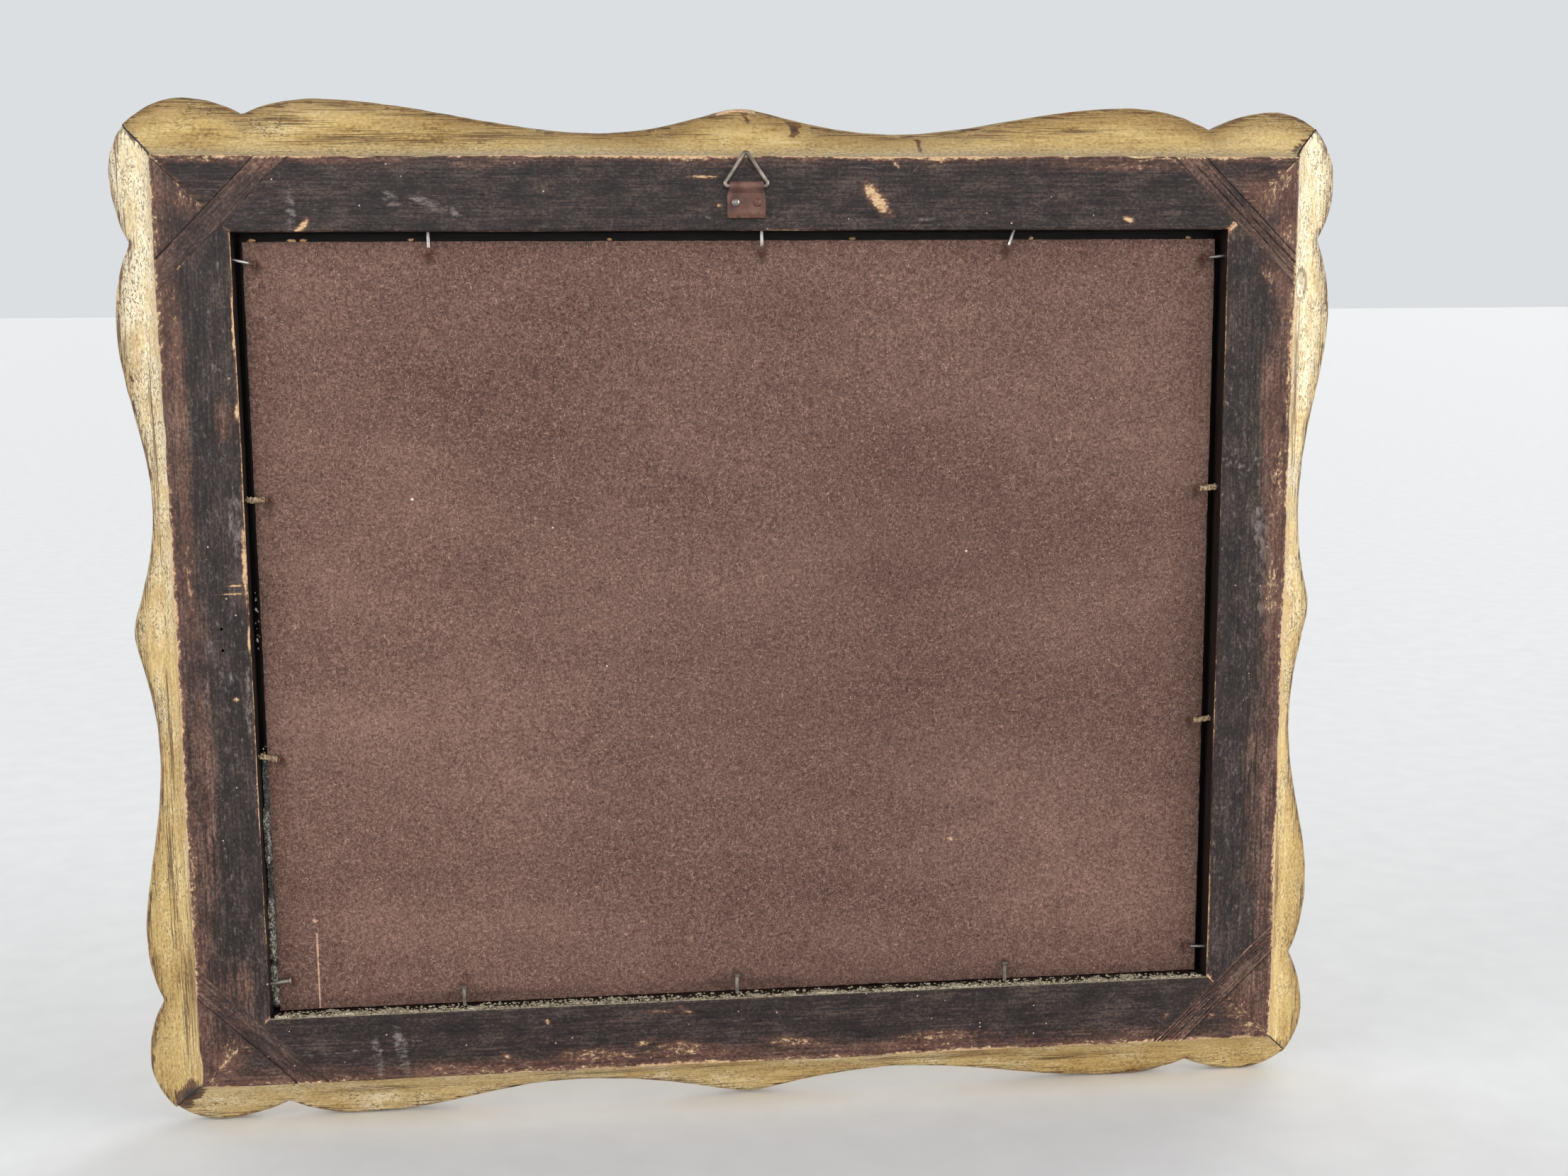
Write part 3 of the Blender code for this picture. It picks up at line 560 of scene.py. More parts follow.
def gilding():
    """Old gilding, crackled and glazed brown with painted shade in the glaze, paled at the stiles by a
    painted reflection of window light, worn through to brown and to bare wood.
    """
    s = Shade("gilding")
    spot = s.moulding_spot()
    tone = s.noise(spot, (26, 110), 6, 0.62)
    cloud = s.noise(spot, (60, 90), 5, 0.65)
    coarse = s.line(s.attribute("front"), -0.7, 1)
    grain = s.line(s.minus(s.noise(spot, (46, 1000), 6, 0.64), 0.5), coarse, 0.5)
    mottle = s.noise(spot, (800, 1100), 5, 0.7)
    ragged = s.noise(spot, (700, 1200), 6, 0.72)
    shade = s.line(grain, 0.16, s.times(tone, 0.28))
    shade = s.line(mottle, 0.32, s.line(cloud, 0.24, shade))
    gold = ((0.4, (124, 92, 45)), (0.47, (188, 156, 94)), (0.54, (215, 188, 128)), (0.61, (236, 217, 170)))
    colour = s.ramp(shade, *gold)
    # Painted reflection: where the pale attribute says, the gilding is paled as if window light shone on it,
    # up the stiles, towards one end of the bottom rail and in a dent.
    painted_sheen_tone = s.ramp(shade, (0.4, (170, 152, 112)), (0.5, (218, 206, 176)), (0.6, (246, 241, 224)))
    pale = s.wear("pale", cloud, 1.4, 0.0, 1.0)
    colour = s.coat(colour, pale, painted_sheen_tone, 0.8)
    # Brown over the gilding: glaze, with painted shade towards the edge and over the top rail.
    glaze_and_shade = s.wear("glaze_and_shade", cloud, 2.2, 0.0, 1.5)
    colour = s.coat(colour, glaze_and_shade, (116, 86, 44), 0.6)
    squiggle = s.noise(spot, (420, 800), 2, 0.5, 2.6)
    patches = s.line(s.attribute("pale"), 0.06, cloud)
    crackle = s.times(s.step(squiggle, 0.56, 0.64), s.step(patches, 0.42, 0.58))
    colour = s.coat(colour, crackle, (104, 74, 38), 0.75)
    dashes = s.noise(spot, (150, 900), 4, 0.6)
    worn = s.wear("worn", dashes, 2.6, 0.3, 0.52)
    streaks = s.noise(spot, (55, 2400), 4, 0.6)
    streaks = s.wear("streak", streaks, 6.5, 0.3, 1.1)
    loss = s.most(worn, s.times(streaks, 0.85))
    colour = s.coat(colour, loss, s.ramp(grain, (0.35, (52, 31, 16)), (0.62, (118, 78, 40))))
    colour = s.coat(colour, s.step(s.attribute("worn"), 0.7, 1.35), (30, 19, 12))
    dust = s.times(s.wear("dust", ragged, 2.4, 0.1, 0.9), 0.85)
    grey = s.ramp(mottle, (0.36, (110, 96, 72)), (0.5, (160, 145, 116)), (0.62, (188, 176, 150)))
    colour = s.coat(colour, dust, grey)
    bare = s.wear("bare", ragged, 1.6, -0.1, 0.4)
    colour = s.coat(colour, bare, s.ramp(ragged, (0.36, (180, 140, 102)), (0.62, (228, 200, 160))))
    crack = s.below(s.jitter(s.attribute("joint"), ragged, 0.8 * MM), 0.25 * MM)
    colour = s.coat(colour, crack, (26, 17, 11))
    covered = s.most(s.most(loss, dust), s.most(bare, crack))
    metallic = s.line(covered, -0.3, 0.3)
    rough = s.line(covered, 0.25, s.line(tone, 0.24, 0.34))
    normal = None
    for height, distance in ((shade, 0.3), (tone, 0.4), (crackle, -0.2), (loss, -0.15)):
        normal = s.bump(height, distance * MM, normal)
    return s.finish(colour, rough, normal, metallic, Coat_Weight=0.2, Coat_Roughness=0.34)


def board_scratch(s, spot):
    """Mask of one upright, wavering scratch low on the board."""
    aside = s.math("ABSOLUTE", s.minus(s.axis(spot, "X"), SCRATCH_X))
    aside = s.jitter(aside, s.noise(spot, (0, 0, 90), 3, 0.6), 0.9 * MM)
    aside = s.jitter(aside, s.noise(spot, (0, 0, 480), 4, 0.7), 1.3 * MM)
    length = s.math("ABSOLUTE", s.minus(s.axis(spot, "Z"), CENTRE_Z + SCRATCH_Z))
    return s.times(s.step(aside, 0.4 * MM, 0.1 * MM), s.below(length, SCRATCH_HALF))


def fibreboard():
    """Brown board of matted fibres, cloudy, with smudges, painted shadow with stain below the brads' heads,
    rust round the brads and pale flecks.
    """
    s = Shade("fibreboard")
    spot = s.object_spot()
    cloud = s.noise(spot, (9, 16, 20), 5, 0.62)
    fibre = s.noise(spot, 1250, 4, 0.66, 0.6)
    mottle = s.noise(spot, (260, 260, 200), 4, 0.6, 0.8)
    upright = s.noise(spot, (2000, 2000, 800), 2, 0.5, 1.8)
    level = s.noise(spot, (800, 2000, 2000), 2, 0.5, 1.8)
    shade = s.line(cloud, 0.24, s.line(fibre, 0.68, s.times(mottle, 0.08)))
    colour = s.ramp(shade, (0.39, (72, 51, 45)), (0.5, (106, 80, 72)), (0.61, (138, 108, 97)))
    warm = s.ramp(shade, (0.39, (88, 62, 54)), (0.5, (124, 94, 83)), (0.61, (158, 123, 108)))
    warmth = s.wear("warm", cloud, 1.6, -0.2, 1.4)
    colour = s.coat(colour, warmth, warm, 0.7)
    flecks = s.most(s.step(upright, 0.6, 0.73), s.step(level, 0.6, 0.73))
    colour = s.coat(colour, flecks, (192, 158, 140), 0.85)
    pits = s.most(s.step(upright, 0.36, 0.29), s.step(level, 0.36, 0.29))
    colour = s.coat(colour, pits, (56, 38, 33), 0.6)
    colour = s.coat(colour, s.specks(spot, 70, 0.035, 0.16), (226, 214, 198))
    # Darker where the dark attribute says: smudges, and painted shadow with stain below each brad's head.
    smudge = s.wear("dark", mottle, 1.2, -0.1, 1.3)
    colour = s.coat(colour, smudge, (52, 36, 32), 0.65)
    rust = s.wear("rust", mottle, 1.6, -0.1, 0.9)
    colour = s.coat(colour, rust, (88, 44, 29), 0.7)
    drops = s.wear("bare", fibre, 1.2, 0.0, 0.5)
    colour = s.coat(colour, s.most(board_scratch(s, spot), drops), (206, 166, 140))
    normal = s.bump(flecks, 0.05 * MM, s.bump(fibre, 0.16 * MM))
    return s.finish(colour, 0.86, normal, Specular_IOR_Level=0.25)


def metal(name, tones, rough, metallic, rust, scale=900):
    """Metal with cloudy tarnish, and rust where its wear is high, or less high with more rust."""
    s = Shade(name)
    spot = s.object_spot()
    fine = s.noise(spot, scale, 5, 0.65)
    tarnish = s.ramp(s.noise(spot, scale / 5, 4, 0.6), *zip((0.36, 0.5, 0.64), tones))
    stain = s.step(s.jitter(s.attribute("worn"), fine, 1.8), 0.5 - rust, 0.8 - rust)
    crust = s.ramp(fine, (0.35, (52, 32, 25)), (0.5, (96, 64, 52)), (0.66, (124, 88, 72)))
    roughness = s.line(stain, 0.35, s.line(fine, 0.3, rough))
    shine = s.line(stain, -0.75 * metallic, metallic)
    return s.finish(s.coat(tarnish, stain, crust), roughness, s.bump(fine, 0.03 * MM), shine)


def crumb_material(name, *tones):
    s = Shade(name)
    grit = s.noise(s.object_spot(), 1500, 4, 0.6)
    colour = s.ramp(grit, *zip((0.34, 0.5, 0.66), tones))
    return s.finish(colour, 0.9, s.bump(grit, 0.2 * MM), Specular_IOR_Level=0.2)


def felt_material():
    s = Shade("panel_felt")
    spot = s.object_spot()
    nap = s.noise(spot, 900, 5, 0.7, 1.0)
    shade = s.line(nap, 0.6, s.times(s.noise(spot, 40, 4, 0.6), 0.4))
    colour = s.ramp(shade, (0.36, (52, 12, 18)), (0.52, (84, 20, 28)), (0.66, (108, 34, 40)))
    return s.finish(colour, 0.95, s.bump(nap, 0.4 * MM), Sheen_Weight=0.35, Sheen_Roughness=0.5)


def glass_material():
    s = Shade("window_glass")
    smudge = s.noise(s.object_spot(), 30, 4, 0.6)
    colour = s.ramp(smudge, (0.3, (244, 249, 247)), (0.7, (252, 254, 253)))
    rough = s.times(s.step(smudge, 0.5, 0.75), 0.03)
    return s.finish(colour, rough, Transmission_Weight=1.0, IOR=1.45, Alpha=0.35)


def card_material():
    s = Shade("plain_card")
    pulp = s.noise(s.object_spot(), 700, 4, 0.6)
    colour = s.ramp(pulp, (0.35, (104, 92, 78)), (0.65, (128, 114, 96)))
    return s.finish(colour, 0.9, s.bump(pulp, 0.1 * MM))


def coin_material(name, low, middle, high):
    """Coin metal, dark in the field and bright on the relief."""
    s = Shade(name)
    spot = s.object_spot()
    height = s.jitter(s.attribute("relief"), s.noise(spot, 160, 5, 0.65), 0.7)
    colour = s.ramp(s.step(height, -0.1, 1.0), (0.1, low), (0.45, middle), (0.85, high))
    rough = s.line(s.step(height, 0.0, 0.9), -0.2, 0.46)
    scratches = s.noise(spot, (2200, 2200, 700), 3, 0.5)
    return s.finish(colour, rough, s.bump(scratches, 0.01 * MM), Metallic=1.0)


def paper_material():
    s = Shade("floor_paper")
    fibre = s.noise(s.object_spot(), 60, 3, 0.5)
    colour = s.ramp(fibre, (0.3, (228, 230, 232)), (0.7, (233, 235, 237)))
    return s.finish(colour, 0.85)


def wobble(x, y, x_period, y_period, seed):
    """Smooth repeatable unevenness, mostly between -1 and 1."""
    draw = np.random.default_rng(seed)
    total = 0
    for _ in range(8):
        turns = draw.uniform(-1, 1, 2)
        phase = draw.uniform(0, 2 * np.pi)
        total = total + np.sin(2 * np.pi * (turns[0] * x / x_period + turns[1] * y / y_period) + phase)
    return total / 3


def ease(value, low, high):
    share = np.clip((value - low) / (high - low), 0, 1)
    return share * share * (3 - 2 * share)


def marks_field(x, z, marks):
    """One in the middle of a mark, nought on its outline, and lower further away."""
    field = np.full(np.shape(x), -4.0)
    for middle_x, middle_z, length, width, angle in marks:
        turn = math.radians(angle)
        right, up = x - middle_x * MM, z - middle_z * MM
        along = right * math.cos(turn) + up * math.sin(turn)
        across = up * math.cos(turn) - right * math.sin(turn)
        field = np.maximum(field, 1 - np.hypot(along / (length * MM), across / (width * MM)))
    return field


def corners_field(x, z, triangles):
    """Like marks_field, for triangles: one from the end of the slope inside a triangle's sides."""
    field = np.full(np.shape(x), -1.0)
    for corners in triangles:
        inside = np.ones_like(field)
        for (from_x, from_z), (to_x, to_z) in zip(corners, corners[1:] + corners[:1]):
            run = math.hypot(to_x - from_x, to_z - from_z) * MM
            cross = (to_x - from_x) * (z - from_z * MM) - (to_z - from_z) * (x - from_x * MM)
            inside = np.minimum(inside, cross * MM / run / CORNERED_SLOPE)
        field = np.maximum(field, inside)
    return field


def rotation(degrees, axis):
    return Matrix.Rotation(math.radians(degrees), 4, axis)


def moulding_place(turn):
    """From a moulding along x with its outer edge up, to its place round the rebate."""
    return Matrix.Translation((0, 0, CENTRE_Z)) @ rotation(turn, "Y")


def add_attributes(mesh, **values):
    for name, numbers in values.items():
        layer = mesh.attributes.new(name, "FLOAT", "POINT")
        layer.data.foreach_set("value", np.asarray(numbers, np.float32).ravel())


def grid_faces(rows, columns, closed=False, looped=False):
    """Quads between the points of a grid, numbered row by row, perhaps closed across or looped along."""
    faces = []
    for row in range(rows if looped else rows - 1):
        for column in range(columns if closed else columns - 1):
            after = (column + 1) % columns
            first, second = row * columns, (row + 1) % rows * columns
            faces.append((first + column, first + after, second + after, second + column))
    return faces


def mesh_of_points(name, points, faces):
    mesh = bpy.data.meshes.new(name)
    mesh.from_pydata(points, [], faces)
    return mesh


def mesh_of_shape(name, shape):
    """Mesh of a finished bmesh, which is freed."""
    mesh = bpy.data.meshes.new(name)
    shape.to_mesh(mesh)
    shape.free()
    return mesh


def face_outwards(shape):
    bmesh.ops.recalc_face_normals(shape, faces=shape.faces)


def settle(mesh, materials, smooth=35):
    """Outward normals, smooth shading up to an angle, and the mesh's materials."""
    shape = bmesh.new()
    shape.from_mesh(mesh)
    face_outwards(shape)
    shape.to_mesh(mesh)
    shape.free()
    mesh.shade_smooth()
    mesh.set_sharp_from_angle(angle=math.radians(smooth))
    for material in materials:
        if material.name not in mesh.materials:
            mesh.materials.append(material)


def new_object(name, data):
    made = bpy.data.objects.new(name, data)
    bpy.context.scene.collection.objects.link(made)
    return made


def show(name, mesh, replaces=(), body="frame"):
    """Adds a mesh as a piece that rides on a body and stands for some of its nodes."""
    piece = new_object(name, mesh)
    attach(piece, body)
    if replaces:
        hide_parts(*replaces)


def turned(profile, sides, shape=None, matrix=None):
    """Closed turned solid about z, from (radius, height) points that start and end on the axis."""
    shape = shape or bmesh.new()
    rings = []
    for radius, height in profile:
        count = sides if radius else 1
        angles = [2 * math.pi * k / sides for k in range(count)]
        rings.append([shape.verts.new((radius * math.cos(a), radius * math.sin(a), height)) for a in angles])
    for lower, upper in zip(rings, rings[1:]):
        for k in range(sides):
            corners = [lower[k % len(lower)], lower[(k + 1) % len(lower)]]
            corners += [upper[(k + 1) % len(upper)], upper[k % len(upper)]]
            shape.faces.new(dict.fromkeys(corners))
    if matrix:
        bmesh.ops.transform(shape, matrix=matrix, verts=[corner for ring in rings for corner in ring])
    return shape


def prism(outline, low, high, shape):
    """Solid between two levels of y over an outline of (x, z) points."""
    near = [shape.verts.new((x, low, z)) for x, z in outline]
    far = [shape.verts.new((x, high, z)) for x, z in outline]
    shape.faces.new(near)
    shape.faces.new(far)
    for k in range(len(outline)):
        after = (k + 1) % len(outline)
        shape.faces.new((near[k], near[after], far[after], far[k]))


def slab(name, top, far_y, materials, smooth=35, **attributes):
    """Closed slab: a grid of points, sides that drop to one level of y, and a flat face there."""
    rows, columns = top.shape[:2]
    index = np.arange(rows * columns).reshape(rows, columns)
    rim = [*index[0, :-1], *index[:-1, -1], *index[-1, :0:-1], *index[:0:-1, 0]]
    points = top.reshape(-1, 3)
    low = points[rim].copy()
    low[:, 1] = far_y
    faces = grid_faces(rows, columns)
    first = len(points)
    for k in range(len(rim)):
        after = (k + 1) % len(rim)
        faces.append((int(rim[k]), int(rim[after]), first + after, first + k))
    faces.append(tuple(range(first, first + len(rim))))
    mesh = mesh_of_points(name, np.concatenate([points, low]).tolist(), faces)
    values = {key: np.concatenate([np.ravel(v), np.ravel(v)[rim]]) for key, v in attributes.items()}
    add_attributes(mesh, **values)
    settle(mesh, materials, smooth)
    return mesh


def difference(mesh, cutter_mesh):
    """The mesh without what a cutter takes away."""
    cutter, whole = new_object("cutter", cutter_mesh), new_object("whole", mesh)
    modifier = whole.modifiers.new("slots", "BOOLEAN")
    modifier.operation = "DIFFERENCE"
    modifier.solver = "EXACT"
    modifier.object = cutter
    bpy.context.view_layer.update()
    result = bpy.data.meshes.new_from_object(whole.evaluated_get(bpy.context.evaluated_depsgraph_get()))
    for item in (cutter, whole):
        bpy.data.objects.remove(item, do_unlink=True)
    return result


def edge_out(along, half):
    """How far the scalloped edge stands out, at a distance along from the middle of a moulding."""
    lobe = half - LOBE_FROM_CORNER
    notch = half - NOTCH_FROM_CORNER
    crest = half - CORNER_INSET
    waist = WAIST_SHARE * lobe
    if along <= waist:
        run = math.hypot(along, PEAK_ROUNDING) - PEAK_ROUNDING
        whole = math.hypot(waist, PEAK_ROUNDING) - PEAK_ROUNDING
        return WAIST_OUT + (PEAK_OUT - WAIST_OUT) * max(0, 1 - run / whole) ** PEAK_POWER
    if along <= lobe:
        swing = math.cos(math.pi * (along - waist) / (lobe - waist))
        return (LOBE_OUT + WAIST_OUT) / 2 - swing * (LOBE_OUT - WAIST_OUT) / 2
    if along <= notch:
        reach = (notch - lobe) / math.sqrt(1 - (NOTCH_OUT / LOBE_OUT) ** 2)
        return LOBE_OUT * math.sqrt(1 - ((along - lobe) / reach) ** 2)
    reach = CORNER_RADIUS
    if along < crest:
        drop = (NOTCH_OUT + CORNER_INSET) / CORNER_RADIUS
        reach = (crest - notch) / math.sqrt(1 - drop ** 2)
    return CORNER_RADIUS * math.sqrt(1 - ((along - crest) / reach) ** 2) - CORNER_INSET


def bezier(points, steps):
    """Points along a curve with these control points, without its last point."""
    found = []
    for k in range(steps):
        level = [Vector(point) for point in points]
        while len(level) > 1:
            level = [a.lerp(b, k / steps) for a, b in zip(level, level[1:])]
        found.append(tuple(level[0]))
    return found


def cove_point(angle):
    return (BACK_FLAT + COVE_REACH * (1 - math.cos(angle)), COVE_DEPTH * math.sin(angle))


def ridge_point(angle):
    across = RIDGE_FROM_REBATE + RIDGE_HALF_WIDTH * math.cos(angle)
    return (across, RIDGE_FRONT - RIDGE_ROUND + RIDGE_ROUND * math.sin(angle))


def section(out):
    """Section as (distance out from the rebate wall, depth below the back) points, by its named runs."""
    edge = BACK_FLAT + out
    roll = edge - EDGE_ROLL
    shoulder = RIDGE_FROM_REBATE + RIDGE_HALF_WIDTH
    inner = RIDGE_FROM_REBATE - RIDGE_HALF_WIDTH
    waist = (roll + shoulder) / 2
    ridge_foot = RIDGE_FRONT - RIDGE_ROUND
    start = math.asin(OUTER_ARRIS / COVE_DEPTH)
    end = math.acos(1 - (out - RIM_ROUND) / COVE_REACH)
    rim = COVE_DEPTH * math.sin(math.acos(1 - out / COVE_REACH))
    flat = BACK_FLAT - OUTER_ARRIS
    sweep = [(roll, ROLL_FRONT), (waist, ROLL_FRONT - SWEEP_DIP)]
    sweep += [(waist - SWEEP_LEAN, ROLL_FRONT), (shoulder, ridge_foot)]
    hollow = [(inner, ridge_foot), (inner - HOLLOW_LEAN, HOLLOW_FRONT)]
    hollow += [(HOLLOW_BEND, HOLLOW_FRONT - FIT), (HOLLOW_FROM_REBATE, HOLLOW_FRONT)]
    channel = [(CHANNEL_FROM_REBATE, HOLLOW_FRONT), (CHANNEL_BEND, CHANNEL_FRONT), (-SIGHT_LIP, SIGHT_FRONT)]
    return {
        "seat": bezier([(-SIGHT_LIP, SEAT), (0, SEAT)], 4),
        "wall": bezier([(0, SEAT), (0, INNER_ARRIS)], 9),
        "inner": bezier([(0, INNER_ARRIS), (0, 0), (INNER_ARRIS, 0)], 3),
        "flat": bezier([(INNER_ARRIS, 0), (flat, 0)], 28),
        "arris": bezier([(flat, 0), (BACK_FLAT, 0), cove_point(start)], 5),
        "cove": [cove_point(start + (end - start) * k / 24) for k in range(24)],
        "rim": bezier([cove_point(end), (edge, rim), (edge, rim + RIM_ROUND)], 4),
        "edge": bezier([(edge, rim + RIM_ROUND), (edge, EDGE_FRONT - RIM_ROUND)], 4),
        "roll": bezier([(edge, EDGE_FRONT - RIM_ROUND), (edge, ROLL_FRONT + FIT), (roll, ROLL_FRONT)], 6),
        "sweep": bezier(sweep, 14),
        "ridge": [ridge_point(math.pi * k / 9) for k in range(9)],
        "hollow": bezier(hollow, 8),
        "ledge": bezier([hollow[-1], channel[0]], 3),
        "channel": bezier(channel, 8),
        "sight": bezier([(-SIGHT_LIP, SIGHT_FRONT), (-SIGHT_LIP, SEAT)], 3),
    }


class Moulding:
    """Points of one moulding along x with its outer edge up: a row of stations with a section at each."""

    def __init__(self, name, side, turn, length, height):
        self.name, self.side, self.length, self.height = name, side, length, height
        self.seed = len(name) * 7 + turn
        self.half = length / 2 + BACK_FLAT
        stations, sections = self.stations()
        self.runs = {}
        self.total = 0
        for run, points in sections[0].items():
            self.runs[run] = slice(self.total, self.total + len(points))
            self.total += len(points)
        grid = np.array([[point for run in each.values() for point in run] for each in sections])
        self.out, self.depth = grid[:, :, 0], grid[:, :, 1]
        self.along = np.repeat(stations[:, None], self.total, 1)
        lengths = np.hypot(np.diff(self.out, axis=1), np.diff(self.depth, axis=1))
        self.across = np.concatenate([np.zeros((len(stations), 1)), np.cumsum(lengths, 1)], 1)
        self.across -= SIGHT_LIP + SEAT
        self.past = self.across - BACK_FLAT
        self.joint = (length / 2 + self.out - np.abs(self.along)) * math.sqrt(0.5)
        self.at_back = np.arange(self.total) < self.runs["edge"].start
        facing = rotation(turn, "Y")
        up = height / 2 + self.out
        self.x = facing[0][0] * self.along + facing[0][2] * up
        self.z = facing[2][0] * self.along + facing[2][2] * up
        self.chips = wobble(self.out, self.along > 0, 12 * MM, 3, self.seed + 6)
        self.wood_marks = self.find_wood_marks()
        self.cornered = np.where(self.at_back, corners_field(self.x, self.z, CORNERED_CHIPS), -1)
        self.hollow = self.back_marks(DENT_MARKS)
        self.dent = ease(self.hollow, 0, 0.5)

    def stations(self):
        """Places along the moulding, and the section at each, with the edge's smoothed strays."""
        tip = self.half + CORNER_RADIUS * math.sqrt(0.5) - CORNER_INSET + CORNER_OVERRUN
        stations = np.linspace(-tip, tip, 2 * round(tip / STATION_STEP) + 1)
        places, strays = np.transpose(EDGE_STRAYS[self.side]) * MM
        strays = np.pad(np.interp(stations, places, strays), STRAY_WINDOW // 2, "edge")
        strays = np.convolve(strays, np.ones(STRAY_WINDOW) / STRAY_WINDOW, "valid")
        return stations, [section(edge_out(abs(x), self.half) + stray) for x, stray in zip(stations, strays)]

    def waves(self, along_period, across_period, number):
        """Unevenness over the surface with these periods in mm, another one for each number."""
        return wobble(self.along, self.across, along_period * MM, across_period * MM, self.seed + number)

    def ripples(self, period, number):
        """Unevenness along the moulding only."""
        return wobble(self.along, 0 * self.along, period * MM, 1, self.seed + number)

    def marks(self, marks):
        return marks_field(self.x, self.z, marks)

    def back_marks(self, marks):
        return np.where(self.at_back, self.marks(marks), -1)

    def mesh(self):
        """Closed mesh of the moulding, its points pushed out from their section."""
        push = self.carved_push()
        slope_out = np.gradient(self.out, axis=1)
        slope_depth = np.gradient(self.depth, axis=1)
        size = np.hypot(slope_out, slope_depth)
        out = self.out + push * slope_depth / size
        depth = self.depth - push * slope_out / size
        points = np.stack([self.along, BACK_Y - depth, self.height / 2 + out], -1).reshape(-1, 3)
        faces = grid_faces(len(out), self.total, closed=True)
        faces += [tuple(range(self.total)), tuple(range(len(points) - self.total, len(points)))]
        return mesh_of_points(self.name, points.tolist(), faces)

    def carved_push(self):
        """How far the points stand out from their section, less than nought where wood is lost."""
        runs = self.runs
        push = BROAD_WAVE * self.waves(70, 25, 0)
        push += FINE_WAVE * self.waves(9, 4, 1)
        for run, gain in (("cove", 2), ("edge", 2), ("seat", 0), ("sight", 0)):
            push[:, runs[run]] *= gain
        nicks = np.maximum(0, self.waves(16, 90, 2) - 0.35)
        for run, depth in (("arris", ARRIS_NICK), ("rim", RIM_NICK)):
            push[:, runs[run]] -= depth * nicks[:, runs[run]]
        fans = FAN_DEPTH * fan_carving(self.along, self.out, self.half)
        roll_start = self.out[:, runs["roll"]].min(1)[:, None]
        fade = np.clip((self.out - FAN_START) / FAN_FADE_IN, 0, 1)
        fade = fade * np.clip((roll_start - self.out) / FAN_FADE_OUT, 0, 1)
        push[:, runs["sweep"]] -= (fans * fade)[:, runs["sweep"]]
        push -= CHIP_DEPTH * ease(self.wood_marks, 0.3, 1.0)
        push -= CORNERED_DEPTH * ease(self.cornered, 0, 0.6)
        push -= DENT_DEPTH * self.dent
        return push

    def find_wood_marks(self):
        """Chipped, rubbed and patchy places of the stained back."""
        marks = np.clip(1.8 * self.marks(CHIP_MARKS), NO_WEAR, 1.4)
        marks = np.maximum(marks, np.minimum(0.1, 0.9 * self.marks(BARE_MARKS) - 0.4))
        marks = np.maximum(marks, self.marks(WORN_MARKS) - 0.95)
        return np.where(self.depth < 2 * MM, marks, NO_WEAR)

    def bare_wood(self):
        """Where bare wood shows: marks, arrises, mitres, key slots and the rim of the top peak."""
        strip = EDGE_WEAR[self.side][0] + 0.8 * self.ripples(60, 3)
        strip = np.clip(strip + 0.35 * self.ripples(9, 4), -0.5, 2.6) * MM
        bare = np.maximum(self.wood_marks, (self.past + strip) / MM)
        inner = 0.25 * self.ripples(35, 5) - (0.15 if self.side == "right" else 0.35)
        bare = np.maximum(bare, (inner * MM - self.across) / (0.5 * MM))
        bare = np.maximum(bare, 0.8 * self.chips + 0.1 - self.joint / MM)
        reach = self.length / 2 + 2 * BACK_FLAT - np.abs(self.along) - self.out
        slot_edge = np.minimum(np.abs(reach - KEY_NEAR), np.abs(reach - KEY_FAR)) * math.sqrt(0.5)
        splinters = wobble(self.along, self.out, 14 * MM, 14 * MM, self.seed + 7)
        bare = np.maximum(bare, 0.8 * splinters - 0.6 - slot_edge / (0.8 * MM))
        bare[:, :self.runs["inner"].start] = NO_WEAR
        bare = np.where(self.past > 0.2 * MM, 0.7 - self.past / (0.8 * MM), bare)
        if self.side == "top":
            rim = self.runs["rim"]
            bare[:, rim] = np.minimum(1, 4 - 4 * np.abs(self.along - PEAK_RUB) / PEAK_RUB_HALF)[:, rim]
        return bare

    def red_stain(self):
        """Where the stain turns red: outwards, and in some places."""
        _, red_from, red_share = EDGE_WEAR[self.side]
        outwards = ease(self.across, red_from * MM, 20 * MM)
        return np.maximum(self.marks(RED_MARKS) * 0.9, red_share * outwards - 0.15)

    def scuffs(self):
        least = -0.15 if self.side in ("left", "right") else -0.8
        return np.maximum(np.minimum(1.4 * self.marks(SCUFF_MARKS), 0.35), least)

    def gilt_wear(self):
        """Where the gilding is worn through: chips, rim and edge, in part painted shade of the rim, the
        mitres, and a line beside the stain, in part painted shade of the steep cove wall.
        """
        worn = np.maximum(self.back_marks(GILT_CHIPS) * 1.6, -0.35)
        worn = np.maximum(worn, 1.05 * self.cornered)
        rim_wear = np.zeros_like(self.out)
        # Rim and edge worn brown, in part painted shade of the rounded rim.
        rim_wear[:, self.runs["rim"]] = 0.4
        rim_wear[:, self.runs["edge"]] = 0.6
        worn = np.maximum(worn, rim_wear - 0.12)
        worn = np.maximum(worn, np.minimum(0.38, 0.5 + 0.35 * self.chips - self.joint / (2.5 * MM)))
        # A brown line just inside the cove, beside the stain: in part stain, in part painted shade of the
        # steep cove wall.
        return np.where(np.abs(self.past - 1.3 * MM) < 0.5 * MM, np.maximum(worn, 0.4), worn)

    def gilt_streaks(self):
        """Where brown streaks show, and a line of them along the rim, in part painted shade of the rounded
        rim.
        """
        streak = np.maximum(self.marks(GILT_STREAKS), -0.6)
        cove_end = self.runs["cove"].stop
        streak[:, self.runs["edge"].start:] = -0.9
        # Line of brown along the rim and the cove's end: in part painted shade of the rounded rim.
        streak[:, self.runs["rim"]] = 0.35
        streak[:, cove_end - 2:cove_end] = 0.1
        return streak

